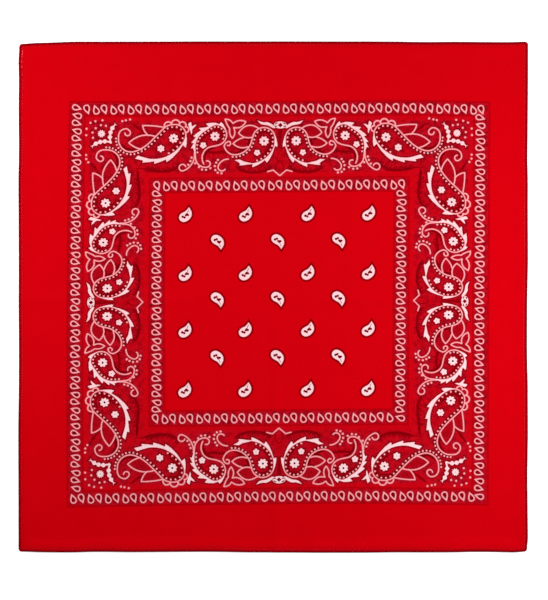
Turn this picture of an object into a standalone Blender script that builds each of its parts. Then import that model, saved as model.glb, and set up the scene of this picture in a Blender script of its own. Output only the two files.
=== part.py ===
"""A square cotton bandana laid flat, face up, with narrow turned hems.

Units are metres and +Z is up. +X runs to the cloth's right edge and +Y to its
top edge. The origin is on the surface that the cloth lies on, under its middle.

The cloth is one square panel. Its four edges are turned under: the panel rises
over the hem, rounds down outside it and ends on the surface. Each hem is a flat
strip that lies inside that lip. The panel's middle rests flat on the surface,
apart from the low ridges that were pressed into it while it was folded.
"""

from collections import namedtuple
from math import cos, pi, radians, sin

import bmesh
import bpy

MM = 0.001

# Driving sizes of the cloth.
WIDTH = 560.0 * MM
LENGTH = 561.7 * MM
WALL = 1.0 * MM
SEAM_GAP = 0.3 * MM
CORNER_RADIUS = 3.2 * MM
HEM_WIDTH = 5.0 * MM

# The turned edge: the lip's outer rounding, and the run down from hem to middle.
FOLD_RADIUS = WALL + SEAM_GAP
FOLD_STEPS = 3
HEM_TOP = 2.0 * WALL + SEAM_GAP
RUN_DOWN = 14.0 * MM

# How far in from the edge its unevenness dies out, and the widest grid step.
EDGE_REACH = 60.0 * MM
GRID_STEP = 22.0 * MM

# Where grid lines cross the run down, and a crease, as shares of their widths.
RUN_DOWN_LINES = (1.0 / 3.0, 2.0 / 3.0, 1.0)
CREASE_LINES = (-1.0, -0.5, 0.0, 0.5, 1.0)

# A wall's underside closer to the surface than this is pressed flat on it.
REST_TOLERANCE = 0.05 * MM
SHARP_ANGLE = radians(40.0)

COLLECTION = "bandana"

HALF_WIDTH = WIDTH / 2.0
HALF_LENGTH = LENGTH / 2.0
LIP_HEIGHT = HEM_TOP - FOLD_RADIUS
LIP_ARC = FOLD_RADIUS * pi / 2.0
UNROLLED = LIP_HEIGHT + LIP_ARC - FOLD_RADIUS
HEM_INSET = WALL + SEAM_GAP
HEM_END = HEM_INSET + HEM_WIDTH

# Each edge is nearly straight: `out` is how far it stands outside its nominal
# line at `along`, both in millimetres. `along` runs up the left and right edges
# and from left to right on the top and bottom edges, from the middle.
EdgeStation = namedtuple("EdgeStation", "along out")
EDGES = {
    "left": (
        EdgeStation(along=-254, out=0.0),
        EdgeStation(along=-214, out=0.1),
        EdgeStation(along=-142, out=0.3),
        EdgeStation(along=-108, out=-0.3),
        EdgeStation(along=-62, out=-0.5),
        EdgeStation(along=-8, out=-0.1),
        EdgeStation(along=30, out=-0.3),
        EdgeStation(along=90, out=0.0),
        EdgeStation(along=130, out=0.1),
        EdgeStation(along=165, out=-0.6),
        EdgeStation(along=206, out=0.0),
        EdgeStation(along=244, out=-0.6),
        EdgeStation(along=263, out=0.1),
    ),
    "right": (
        EdgeStation(along=-267, out=0.2),
        EdgeStation(along=-228, out=-0.2),
        EdgeStation(along=-196, out=-0.5),
        EdgeStation(along=-154, out=0.2),
        EdgeStation(along=-95, out=0.0),
        EdgeStation(along=-62, out=-0.9),
        EdgeStation(along=-3, out=-0.6),
        EdgeStation(along=43, out=0.3),
        EdgeStation(along=90, out=0.0),
        EdgeStation(along=130, out=0.1),
        EdgeStation(along=150, out=-0.5),
        EdgeStation(along=208, out=0.1),
        EdgeStation(along=254, out=0.3),
    ),
    "top": (
        EdgeStation(along=-263, out=-1.4),
        EdgeStation(along=-240, out=-0.8),
        EdgeStation(along=-221, out=0.1),
        EdgeStation(along=-155, out=0.1),
        EdgeStation(along=-63, out=0.3),
        EdgeStation(along=30, out=0.3),
        EdgeStation(along=135, out=0.1),
        EdgeStation(along=168, out=-0.5),
        EdgeStation(along=201, out=-0.1),
        EdgeStation(along=230, out=-0.4),
        EdgeStation(along=262, out=-0.6),
        EdgeStation(along=274, out=0.0),
    ),
    "bottom": (
        EdgeStation(along=-272, out=-1.0),
        EdgeStation(along=-256, out=-0.2),
        EdgeStation(along=-221, out=0.0),
        EdgeStation(along=-195, out=-0.9),
        EdgeStation(along=-155, out=-0.4),
        EdgeStation(along=-63, out=-0.9),
        EdgeStation(along=-36, out=-0.2),
        EdgeStation(along=43, out=0.2),
        EdgeStation(along=95, out=0.3),
        EdgeStation(along=122, out=-0.2),
        EdgeStation(along=188, out=-0.1),
        EdgeStation(along=228, out=-0.9),
        EdgeStation(along=267, out=0.0),
    ),
}

# Ridges pressed in while the cloth was folded, in millimetres. One that `runs`
# along y stands at x = `at`, from y = `start` to y = `end`, and so on. The hem
# is stiffer, so it keeps only HEM_SHARE of a ridge's height.
Crease = namedtuple("Crease", "runs at height spread start end fade")
CREASES = (
    Crease(runs="y", at=4, height=1.3, spread=9, start=-281, end=-6, fade=40),
    Crease(runs="y", at=4, height=0.7, spread=9, start=36, end=281, fade=60),
    Crease(runs="x", at=-3, height=1.1, spread=9, start=14, end=281, fade=50),
    Crease(runs="x", at=-3, height=0.6, spread=9, start=-281, end=-40, fade=50),
    Crease(runs="y", at=-138, height=0.5, spread=11, start=-230, end=96, fade=60),
    Crease(runs="y", at=144, height=0.6, spread=11, start=-120, end=250, fade=70),
    Crease(runs="x", at=134, height=0.5, spread=11, start=-281, end=70, fade=70),
    Crease(runs="x", at=-142, height=0.4, spread=11, start=-60, end=240, fade=60),
)

HEM_SHARE = 0.5

# Puckers where the hem's stitching draws the edge up, in millimetres.
Pucker = namedtuple("Pucker", "side along height spread")
PUCKER_REACH = 24.0 * MM
PUCKERS = (
    Pucker(side="bottom", along=-160, height=0.6, spread=22),
    Pucker(side="bottom", along=-31, height=0.5, spread=18),
    Pucker(side="bottom", along=50, height=0.6, spread=20),
    Pucker(side="bottom", along=196, height=0.4, spread=24),
    Pucker(side="left", along=38, height=0.5, spread=20),
    Pucker(side="left", along=-176, height=0.4, spread=24),
    Pucker(side="top", along=-90, height=0.4, spread=24),
    Pucker(side="top", along=101, height=0.5, spread=20),
    Pucker(side="right", along=-96, height=0.5, spread=22),
    Pucker(side="right", along=150, height=0.4, spread=20),
)


def clear_scene():
    """Remove every object that the file opens with."""
    for item in list(bpy.data.objects):
        bpy.data.objects.remove(item, do_unlink=True)


def make_material(name, color, roughness):
    """Return a cloth material of one colour."""
    material = bpy.data.materials.new(name)
    material.use_nodes = True
    shader = material.node_tree.nodes["Principled BSDF"]
    shader.inputs["Base Color"].default_value = (*color, 1.0)
    shader.inputs["Roughness"].default_value = roughness
    shader.inputs["Metallic"].default_value = 0.0
    material.diffuse_color = (*color, 1.0)
    return material


def soft_step(value):
    """Rise smoothly from 0 to 1 as value goes from 0 to 1."""
    value = min(1.0, max(0.0, value))
    return value * value * (3.0 - 2.0 * value)


def soft_bump(value):
    """Fall smoothly from 1 at value 0 to 0 at value -1 and 1."""
    if abs(value) >= 1.0:
        return 0.0
    return cos(pi * value / 2.0) ** 2


def edge_out(side, along):
    """Read how far an edge stands out at a place along it, between its stations."""
    stations = EDGES[side]
    if along <= stations[0].along * MM:
        return stations[0].out * MM
    for low, high in zip(stations, stations[1:]):
        if along <= high.along * MM:
            share = (along - low.along * MM) / ((high.along - low.along) * MM)
            return (low.out + (high.out - low.out) * share) * MM
    return stations[-1].out * MM


def laid_out(x, y):
    """Move a point of the true rectangle to where the uneven cloth lies."""
    near_left = soft_step(1.0 - (HALF_WIDTH + x) / EDGE_REACH)
    near_right = soft_step(1.0 - (HALF_WIDTH - x) / EDGE_REACH)
    near_bottom = soft_step(1.0 - (HALF_LENGTH + y) / EDGE_REACH)
    near_top = soft_step(1.0 - (HALF_LENGTH - y) / EDGE_REACH)
    shift_x = near_right * edge_out("right", y) - near_left * edge_out("left", y)
    shift_y = near_top * edge_out("top", x) - near_bottom * edge_out("bottom", x)
    return x + shift_x, y + shift_y


def round_corner(x, y, half_width, half_length, radius):
    """Round a rectangle's corners, and say how far in from its outline a point is.

    Squares about a corner's centre become circles, so lines that follow the
    outline still follow it round the corner. Returns x, y, inset and the
    outline's outward direction there.
    """
    side_x = 1.0 if x >= 0.0 else -1.0
    side_y = 1.0 if y >= 0.0 else -1.0
    over_x = abs(x) - (half_width - radius)
    over_y = abs(y) - (half_length - radius)
    if over_x <= 0.0 or over_y <= 0.0:
        inset_x = half_width - abs(x)
        inset_y = half_length - abs(y)
        if inset_x < inset_y:
            return x, y, inset_x, (side_x, 0.0)
        return x, y, inset_y, (0.0, side_y)
    reach = max(over_x, over_y)
    quarter = pi / 4.0
    angle = quarter * over_y / over_x if over_x >= over_y else pi / 2.0 - quarter * over_x / over_y
    out = (side_x * cos(angle), side_y * sin(angle))
    x = side_x * (half_width - radius) + out[0] * reach
    y = side_y * (half_length - radius) + out[1] * reach
    return x, y, radius - reach, out


def lip_section(depth):
    """Return inset and height where the cloth has run `depth` in from its cut foot.

    It stands up from the surface, rounds over the hem and goes on level.
    """
    if depth <= LIP_HEIGHT:
        return 0.0, depth
    if depth <= LIP_HEIGHT + LIP_ARC:
        turn = (depth - LIP_HEIGHT) / FOLD_RADIUS
        return FOLD_RADIUS * (1.0 - cos(turn)), LIP_HEIGHT + FOLD_RADIUS * sin(turn)
    return depth - UNROLLED, HEM_TOP


def crease_height(x, y):
    """Return the height of the highest pressed ridge over a point."""
    highest = 0.0
    for crease in CREASES:
        across, along = (x, y) if crease.runs == "y" else (y, x)
        ridge = soft_bump((across / MM - crease.at) / crease.spread)
        rise = soft_step((along / MM - crease.start) / crease.fade)
        fall = soft_step((crease.end - along / MM) / crease.fade)
        open_start = crease.start > -HALF_WIDTH / MM
        open_end = crease.end < HALF_WIDTH / MM
        ridge *= rise if open_start else 1.0
        ridge *= fall if open_end else 1.0
        highest = max(highest, crease.height * MM * ridge)
    return highest


def pucker_height(x, y):
    """Return the height that the hem's puckers add at a point."""
    insets = {
        "left": HALF_WIDTH + x,
        "right": HALF_WIDTH - x,
        "bottom": HALF_LENGTH + y,
        "top": HALF_LENGTH - y,
    }
    height = 0.0
    for pucker in PUCKERS:
        along = y if pucker.side in ("left", "right") else x
        near = soft_step(1.0 - insets[pucker.side] / PUCKER_REACH)
        height += pucker.height * MM * near * soft_bump((along / MM - pucker.along) / pucker.spread)
    return height


def panel_point(x, y):
    """Place one point of the unrolled cloth on the turned, creased panel."""
    half_width = HALF_WIDTH + UNROLLED
    half_length = HALF_LENGTH + UNROLLED
    x, y, depth, out = round_corner(x, y, half_width, half_length, CORNER_RADIUS + UNROLLED)
    inset, height = lip_section(depth)
    drawn_in = inset - (depth - UNROLLED)
    x -= out[0] * drawn_in
    y -= out[1] * drawn_in
    run_down = soft_step((inset - HEM_END - SEAM_GAP) / RUN_DOWN)
    height -= (HEM_TOP - WALL) * run_down
    crease_share = HEM_SHARE + (1.0 - HEM_SHARE) * run_down
    relief = crease_height(x, y) * crease_share + pucker_height(x, y)
    height += relief * soft_step(inset / FOLD_RADIUS)
    x, y = laid_out(x, y)
    return x, y, height


def hem_point(x, y):
    """Place one point of a hem's top, which follows the panel's outline."""
    x, y, _, _ = round_corner(x, y, HALF_WIDTH, HALF_LENGTH, CORNER_RADIUS)
    x, y = laid_out(x, y)
    return x, y, WALL


def spaced_lines(fixed, low, high):
    """Return sorted places from low to high: the fixed ones, with even steps between."""
    marks = sorted({low, high, *(place for place in fixed if low < place < high)})
    lines = [marks[0]]
    for start, end in zip(marks, marks[1:]):
        steps = max(1, round((end - start) / GRID_STEP))
        lines += [start + (end - start) * step / steps for step in range(1, steps + 1)]
    return lines


def relief_lines(runs, sides):
    """Return where creases and the puckers of two sides need grid lines."""
    marks = [pucker.along * MM for pucker in PUCKERS if pucker.side in sides]
    for crease in CREASES:
        if crease.runs == runs:
            marks += [(crease.at + crease.spread * part) * MM for part in CREASE_LINES]
    return marks


def panel_lines(half, runs, sides):
    """Return the grid lines of the unrolled panel across one axis."""
    insets = [LIP_HEIGHT + LIP_ARC * step / FOLD_STEPS for step in range(FOLD_STEPS + 1)]
    insets.append(CORNER_RADIUS + UNROLLED)
    insets.append(HEM_END + SEAM_GAP + UNROLLED)
    insets += [HEM_END + SEAM_GAP + UNROLLED + RUN_DOWN * part for part in RUN_DOWN_LINES]
    outer = half + UNROLLED
    edges = [side * (outer - inset) for inset in insets for side in (-1.0, 1.0)]
    return spaced_lines(edges + relief_lines(runs, sides), -outer, outer)


def hem_lines(half, low, high):
    """Return the grid lines along or across a hem, close together at its corners."""
    insets = (HEM_INSET, (HEM_INSET + CORNER_RADIUS) / 2.0, CORNER_RADIUS)
    corners = [side * (half - inset) for inset in insets for side in (-1.0, 1.0)]
    return spaced_lines(corners, low, high)


def cloth_sheet(name, x_lines, y_lines, place, material):
    """Make one cloth solid: a grid on the given lines, placed, with a wall under it."""
    mesh = bpy.data.meshes.new(name)
    sheet = bmesh.new()
    columns = len(x_lines) - 1
    rows = len(y_lines) - 1
    bmesh.ops.create_grid(sheet, x_segments=columns, y_segments=rows, size=1.0)
    for vertex in sheet.verts:
        column = round((vertex.co.x + 1.0) / 2.0 * columns)
        row = round((vertex.co.y + 1.0) / 2.0 * rows)
        vertex.co = place(x_lines[column], y_lines[row])
    sheet.to_mesh(mesh)
    sheet.free()
    mesh.materials.append(material)
    cloth = bpy.data.objects.new(name, mesh)
    bpy.data.collections[COLLECTION].objects.link(cloth)
    wall = cloth.modifiers.new("Cloth wall", "SOLIDIFY")
    wall.thickness = WALL
    wall.offset = -1.0
    wall.use_even_offset = True
    wall.use_quality_normals = True
    press_flat(cloth)
    return cloth


def press_flat(cloth):
    """Apply the wall, and set what all but touches the surface flat on it."""
    depsgraph = bpy.context.evaluated_depsgraph_get()
    walled = bpy.data.meshes.new_from_object(cloth.evaluated_get(depsgraph))
    for vertex in walled.vertices:
        if vertex.co.z < REST_TOLERANCE:
            vertex.co.z = 0.0
    sheet = cloth.data
    cloth.modifiers.clear()
    cloth.data = walled
    bpy.data.meshes.remove(sheet)
    walled.name = cloth.name
    walled.shade_smooth()
    walled.set_sharp_from_angle(angle=SHARP_ANGLE)


def build_panel(material):
    """Build the printed square with its turned-down edges."""
    x_lines = panel_lines(HALF_WIDTH, "y", ("top", "bottom"))
    y_lines = panel_lines(HALF_LENGTH, "x", ("left", "right"))
    return cloth_sheet("panel", x_lines, y_lines, panel_point, material)


def build_hems(material):
    """Build the four turned strips: two full ones, and two between them."""
    outer_x = HALF_WIDTH - HEM_INSET
    outer_y = HALF_LENGTH - HEM_INSET
    inner_x = HALF_WIDTH - HEM_END
    inner_y = HALF_LENGTH - HEM_END
    across_x = hem_lines(HALF_WIDTH, -outer_x, outer_x)
    along_y = spaced_lines((), SEAM_GAP - inner_y, inner_y - SEAM_GAP)
    cloth_sheet("hem_top", across_x, hem_lines(HALF_LENGTH, inner_y, outer_y), hem_point, material)
    cloth_sheet("hem_bottom", across_x, hem_lines(HALF_LENGTH, -outer_y, -inner_y), hem_point, material)
    cloth_sheet("hem_left", (-outer_x, -inner_x), along_y, hem_point, material)
    cloth_sheet("hem_right", (inner_x, outer_x), along_y, hem_point, material)


def main():
    """Build the bandana."""
    clear_scene()
    bpy.context.scene.collection.children.link(bpy.data.collections.new(COLLECTION))
    printed = make_material("printed_cotton", (0.658, 0.002, 0.005), 0.85)
    hemmed = make_material("hem_cotton", (0.52, 0.002, 0.005), 0.88)
    build_panel(printed)
    build_hems(hemmed)


main()
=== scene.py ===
"""Dress the bandana: a printed cotton square, laid flat, with turned and lockstitched hems.

The cloth is one thin shell on its panel's form. The print is cut into that shell: each drop,
dot, petal, leaf and line is made of its own faces, so the ink's edges stay crisp however near
one looks. Shapes are drawn with a few arcs, bows and tables, then laid on the cloth. Drawing
is in millimetres, and meshes are in metres. The underside shows the print's pale ghost.
"""

import logging
from collections.abc import Callable, Sequence
from dataclasses import dataclass, field
from enum import Enum
from math import ceil, cos, hypot, pi, radians, sin

import bpy
import numpy as np
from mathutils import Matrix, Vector
from mathutils.geometry import delaunay_2d_cdt
from mathutils.kdtree import KDTree


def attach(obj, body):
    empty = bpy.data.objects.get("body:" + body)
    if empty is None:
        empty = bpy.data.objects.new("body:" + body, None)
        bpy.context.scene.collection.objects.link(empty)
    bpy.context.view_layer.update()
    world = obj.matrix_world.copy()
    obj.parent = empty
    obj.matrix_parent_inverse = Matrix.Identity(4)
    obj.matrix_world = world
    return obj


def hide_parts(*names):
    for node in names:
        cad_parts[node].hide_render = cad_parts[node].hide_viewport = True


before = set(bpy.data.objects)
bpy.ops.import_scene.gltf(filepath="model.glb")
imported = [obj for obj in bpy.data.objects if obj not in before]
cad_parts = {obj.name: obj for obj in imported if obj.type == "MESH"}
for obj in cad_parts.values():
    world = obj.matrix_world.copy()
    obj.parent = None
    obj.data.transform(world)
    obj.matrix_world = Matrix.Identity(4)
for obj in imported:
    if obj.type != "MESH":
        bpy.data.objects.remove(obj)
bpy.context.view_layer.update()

log = logging.getLogger("bandana")

Point = tuple[float, float]
Line = list[Point]
Place = Callable[[float, float], Point]
Tips = tuple[float, float]
Shapes = Sequence[tuple["Ink", Line]]

MM = 0.001
BODY = "root"
PICTURE_WIDTH, PICTURE_HEIGHT = 548, 600

# The cloth's nominal square and its wall, in millimetres.
CLOTH_WIDTH = 560.0
CLOTH_LENGTH = 561.7
HALF_X, HALF_Y = CLOTH_WIDTH / 2.0, CLOTH_LENGTH / 2.0
THICKNESS = 0.45
REST = 0.05
CORNER_RADIUS = 3.2
FOLD_RADIUS = 1.0

# The hem: the height of its top, where it ends, how far the cloth then takes to come down,
# and how far in from the edge it is stitched.
HEM_TOP = 1.9
HEM_END = 6.6
RUN_DOWN = 11.0
STITCH_INSET = 3.9


class Ink(Enum):
    """What a printed shape puts on the red cloth: its white, its dark, and its mottling."""

    GROUND = (0.0, 0.0, 0.0)
    MOTTLE = (0.0, 0.0, 1.0)
    WHITE = (1.0, 0.0, 0.0)
    LINE = (0.5, 0.0, 0.0)
    RIM = (0.12, 0.0, 0.0)
    KEYLINE = (0.0, 0.75, 0.0)
    FRAME = (0.0, 0.4, 0.0)
    DARK = (0.0, 1.0, 0.0)
    DEEP = (0.0, 0.88, 0.0)
    CLEAR = (0.0, 0.0, 0.45)
    HEART = (0.0, 0.75, 0.6)
    BAND = (0.0, 0.7, 0.0)
    SHADE = (0.0, 0.45, 1.0)


class Layer(Enum):
    """The order in which shapes cover each other."""

    WASH = 0
    SHADE = 1
    KEYLINE = 2
    RIM = 3
    WHITE = 4
    SOLID = 5
    CUT = 6
    DETAIL = 7


def records(kind: type, columns: str, *table: Sequence[object]) -> tuple:
    """Return one record of a kind for each row of a table, whose columns are the kind's fields."""
    names = columns.split()
    return tuple(kind(**dict(zip(names, row))) for row in table)


def soft_step(value: np.ndarray) -> np.ndarray:
    """Rise smoothly from 0 to 1 as value goes from 0 to 1."""
    value = np.clip(value, 0.0, 1.0)
    return value * value * (3.0 - 2.0 * value)


def soft_bump(value: np.ndarray) -> np.ndarray:
    """Fall smoothly from 1 at value 0 to 0 at value -1 and 1."""
    return np.cos(np.clip(value, -1.0, 1.0) * pi / 2.0) ** 2


# ---------------------------------------------------------------------------
# The cloth's form
# ---------------------------------------------------------------------------


@dataclass(frozen=True)
class Crease:
    """A ridge pressed in while the cloth was folded, in millimetres.

    Attributes:
        runs: the axis that it runs along.
        at: where it lies on the other axis.
        height: how high it stands.
        spread: how far it spreads to each side.
        start: where it starts.
        end: where it ends.
        fade: over what length it fades in and out.
    """

    runs: str
    at: float
    height: float
    spread: float
    start: float
    end: float
    fade: float


@dataclass(frozen=True)
class Pucker:
    """A place where the hem's stitching draws the edge up, in millimetres.

    Attributes:
        side: the side it lies on.
        along: its place along that side.
        height: how high it stands.
        spread: how far it spreads to each side.
    """

    side: str
    along: float
    height: float
    spread: float


@dataclass(frozen=True)
class Swell:
    """One wave of the cloth's slight unevenness: its length, heading and height.

    Attributes:
        length: how long a wave is, in millimetres.
        heading: the direction of its run, in degrees.
        height: how high it stands, in millimetres.
        shift: where it starts, in radians.
    """

    length: float
    heading: float
    height: float
    shift: float


CREASES = records(
    Crease,
    "runs at height spread start end fade",
    ("y", 4, 1.3, 9, -281, -6, 40),
    ("y", 4, 0.7, 9, 36, 281, 60),
    ("x", -3, 1.1, 9, 14, 281, 50),
    ("x", -3, 0.6, 9, -281, -40, 50),
    ("y", -138, 0.5, 11, -230, 96, 60),
    ("y", 144, 0.6, 11, -120, 250, 70),
    ("x", 134, 0.5, 11, -281, 70, 70),
    ("x", -142, 0.4, 11, -60, 240, 60),
)

# How much of a crease is left on the stiff hem, and how far in from the edge a pucker reaches.
HEM_SHARE = 0.5
PUCKER_REACH = 24.0
PUCKERS = records(
    Pucker,
    "side along height spread",
    ("bottom", -160, 0.6, 22),
    ("bottom", -31, 0.5, 18),
    ("bottom", 50, 0.6, 20),
    ("bottom", 196, 0.4, 24),
    ("left", 38, 0.5, 20),
    ("left", -176, 0.4, 24),
    ("top", -90, 0.4, 24),
    ("top", 101, 0.5, 20),
    ("right", -96, 0.5, 22),
    ("right", 150, 0.4, 20),
)

SWELLS = records(
    Swell,
    "length heading height shift",
    (83.0, 17.0, 0.10, 0.4),
    (61.0, 101.0, 0.08, 2.1),
    (47.0, -38.0, 0.06, 4.4),
    (31.0, 64.0, 0.04, 1.3),
    (19.0, -77.0, 0.02, 3.0),
)

# The hem's ripple: its wavelength and height, and where its middle lies in from the edge.
RIPPLE_LENGTH = 9.7
RIPPLE_HEIGHT = 0.07
RIPPLE_INSET = 7.0

# The groove that the stitches press, and how far in the cloth follows its uneven edge.
GROOVE_DEPTH = 0.24
GROOVE_WIDTH = 0.75
EDGE_REACH = 60.0

UPRIGHT_SIDES = ("left", "right")


@dataclass
class ClothForm:
    """The outline and height of the laid cloth, taken from the panel in the frame.

    Attributes:
        sides: for each side, places along it and how far its edge stands out there.
    """

    SOLE = 0.01
    STRAY = 2.6
    PITCH = 2.0
    BLUR = 4

    sides: dict[str, tuple[np.ndarray, np.ndarray]] = field(default_factory=dict)

    def __post_init__(self) -> None:
        """Read each side's edge from the panel's foot, which stands on the surface."""
        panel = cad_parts["panel"].data
        spots = np.empty(len(panel.vertices) * 3)
        panel.vertices.foreach_get("co", spots)
        spots = spots.reshape(-1, 3) / MM
        foot = spots[spots[:, 2] < self.SOLE]
        soft = np.hanning(2 * self.BLUR + 1)
        for side, axis, sign, half, other in (
            ("left", 0, -1.0, HALF_X, HALF_Y),
            ("right", 0, 1.0, HALF_X, HALF_Y),
            ("bottom", 1, -1.0, HALF_Y, HALF_X),
            ("top", 1, 1.0, HALF_Y, HALF_X),
        ):
            out = foot[:, axis] * sign - half
            along = foot[:, 1 - axis]
            near = (out > -self.STRAY) & (np.abs(along) < other - CORNER_RADIUS - 0.5)
            out, along = out[near], along[near]
            places = np.unique(np.round(along, 1))
            outs = np.array([out[np.abs(along - place) < 0.5].max() for place in places])
            even = np.arange(-other, other, self.PITCH)
            padded = np.pad(np.interp(even, places, outs), self.BLUR, mode="edge")
            self.sides[side] = (even, np.convolve(padded, soft / soft.sum(), mode="valid"))

    def lay(self, x: np.ndarray, y: np.ndarray) -> tuple[np.ndarray, np.ndarray]:
        """Move points of the true rectangle to where the uneven cloth lies.

        Args:
            x: across the cloth, from its middle.
            y: up the cloth, from its middle.

        Returns:
            The same where the cloth lies.
        """
        strays = []
        for side, inset in self.insets(x, y).items():
            out = np.interp(y if side in UPRIGHT_SIDES else x, *self.sides[side])
            strays.append(soft_step(1.0 - inset / EDGE_REACH) * out)
        left, right, low, high = strays
        return x + right - left, y + high - low

    def insets(self, x: np.ndarray, y: np.ndarray) -> dict[str, np.ndarray]:
        """Return how far in from each side points of the true rectangle lie."""
        return {"left": HALF_X + x, "right": HALF_X - x, "bottom": HALF_Y + y, "top": HALF_Y - y}

    def relief(self, x: np.ndarray, y: np.ndarray, run_down: np.ndarray) -> np.ndarray:
        """Return the height of creases, puckers and slight unevenness over points.

        Args:
            x: across the cloth, from its middle.
            y: up the cloth, from its middle.
            run_down: how far the cloth has come down from the hem there, from 0 to 1.

        Returns:
            One height for each point.
        """
        ridge = np.zeros_like(x)
        for crease in CREASES:
            across, along = (x, y) if crease.runs == "y" else (y, x)
            height = crease.height * soft_bump((across - crease.at) / crease.spread)
            if crease.start > -HALF_X:
                height = height * soft_step((along - crease.start) / crease.fade)
            if crease.end < HALF_X:
                height = height * soft_step((crease.end - along) / crease.fade)
            ridge = np.maximum(ridge, height)
        total = ridge * (HEM_SHARE + (1.0 - HEM_SHARE) * run_down)
        insets = self.insets(x, y)
        for pucker in PUCKERS:
            along = y if pucker.side in UPRIGHT_SIDES else x
            near = soft_step(1.0 - insets[pucker.side] / PUCKER_REACH)
            total += pucker.height * near * soft_bump((along - pucker.along) / pucker.spread)
        for swell in SWELLS:
            way = x * cos(radians(swell.heading)) + y * sin(radians(swell.heading))
            total += swell.height * (1.0 + np.sin(way * 2.0 * pi / swell.length + swell.shift))
        for side, inset in insets.items():
            along = y if side in UPRIGHT_SIDES else x
            wave = np.sin(along * 2.0 * pi / RIPPLE_LENGTH + 1.7 * np.sin(along / 23.0))
            near = soft_step(1.0 - np.abs(inset - RIPPLE_INSET) / RIPPLE_INSET)
            total += RIPPLE_HEIGHT * (1.0 + wave) * near
        return total

    def top(self, x: np.ndarray, y: np.ndarray) -> np.ndarray:
        """Return the height of the cloth's face over points of the true rectangle.

        Args:
            x: across the cloth, from its middle.
            y: up the cloth, from its middle.

        Returns:
            One height for each point.
        """
        insets = self.insets(x, y)
        inset = np.minimum.reduce(list(insets.values()))
        run_down = soft_step((inset - HEM_END) / RUN_DOWN)
        level = REST + THICKNESS + (HEM_TOP - THICKNESS) * (1.0 - run_down)
        groove = GROOVE_DEPTH * np.exp(-(((inset - STITCH_INSET) / GROOVE_WIDTH) ** 2))
        return level - groove + self.relief(x, y, run_down)


# ---------------------------------------------------------------------------
# Drawn lines
# ---------------------------------------------------------------------------

# How far apart a line's points are, in millimetres and in degrees of a turn, how sharp a corner
# a line beside it still follows, and how far from its ends a ribbon is tapered.
LINE_PITCH = 3.0
TURN_STEP = 22.0
SHARPEST = 0.55
TAPER = 5.0
FULL = (1.0, 1.0)


@dataclass(frozen=True)
class Turn:
    """A round stretch of a drawn line, in degrees from `along` towards `deep`.

    Attributes:
        along: where its middle lies along the drawing.
        deep: where its middle lies on the other axis.
        radius: how wide it turns.
        start: the angle it starts at.
        end: the angle it ends at.
    """

    along: float
    deep: float
    radius: float
    start: float
    end: float

    def spot(self, angle: float) -> Point:
        """Return the point of the circle at an angle."""
        turn = radians(angle)
        return self.along + self.radius * cos(turn), self.deep + self.radius * sin(turn)

    def heading(self, angle: float) -> Point:
        """Return the direction in which the line runs at an angle."""
        way = 1.0 if self.end > self.start else -1.0
        return -sin(radians(angle)) * way, cos(radians(angle)) * way

    def line(self, pitch: float = LINE_PITCH) -> Line:
        """Return the arc's points, at most `pitch` and TURN_STEP apart.

        Args:
            pitch: how far apart they may lie.

        Returns:
            The points, with both ends.
        """
        sweep = abs(self.end - self.start)
        steps = max(1, ceil(sweep / TURN_STEP), ceil(radians(sweep) * self.radius / pitch))
        return [self.spot(self.start + (self.end - self.start) * k / steps) for k in range(steps + 1)]


def moved(spot: Point, way: Point, distance: float) -> Point:
    """Return a point moved along a direction."""
    return spot[0] + way[0] * distance, spot[1] + way[1] * distance


def unit(ways: np.ndarray) -> np.ndarray:
    """Return directions with a length of 1."""
    return ways / np.maximum(np.linalg.norm(ways, axis=1), 1e-9)[:, None]


def hermite(start: Point, leave: Point, end: Point, arrive: Point, pitch: float) -> Line:
    """Return the points between two ends, on the curve that keeps their headings.

    Args:
        start: the first end.
        leave: the heading there.
        end: the second end.
        arrive: the heading there.
        pitch: how far apart the points may lie.

    Returns:
        The points, without the ends.
    """
    gap = hypot(end[0] - start[0], end[1] - start[1])
    steps = max(1, ceil(gap / pitch))
    line = []
    for step in range(1, steps):
        t = step / steps
        weights = (
            2 * t**3 - 3 * t**2 + 1,
            (t**3 - 2 * t**2 + t) * gap,
            -2 * t**3 + 3 * t**2,
            (t**3 - t**2) * gap,
        )
        ends = (start, leave, end, arrive)
        line.append(tuple(sum(w * p[k] for w, p in zip(weights, ends)) for k in (0, 1)))
    return line


def swept(turns: Sequence[Turn], pitch: float = LINE_PITCH) -> Line:
    """Return one smooth line through arcs, bridging the gaps between them.

    Args:
        turns: the arcs, in order.
        pitch: how far apart the points may lie.

    Returns:
        The points.
    """
    line: Line = []
    for number, turn in enumerate(turns):
        if number:
            last = turns[number - 1]
            start, end = line[-1], turn.spot(turn.start)
            line += hermite(start, last.heading(last.end), end, turn.heading(turn.start), pitch)
        line += turn.line(pitch)
    return line


def bowed(start: Point, end: Point, bow: float = 0.0, pitch: float = LINE_PITCH) -> Line:
    """Return a bow from start to end, standing out by `bow` of its length at the middle.

    Args:
        start: its first end.
        end: its second end.
        bow: how far it stands out, to its left where above 0.
        pitch: how far apart the points may lie.

    Returns:
        The points, with both ends.
    """
    span = hypot(end[0] - start[0], end[1] - start[1])
    across = (-(end[1] - start[1]) * bow, (end[0] - start[0]) * bow)
    steps = max(2, ceil(span / pitch))
    line = []
    for step in range(steps + 1):
        t = step / steps
        lift = 4.0 * t * (1.0 - t)
        line.append(tuple(start[k] + (end[k] - start[k]) * t + across[k] * lift for k in (0, 1)))
    return line


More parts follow.
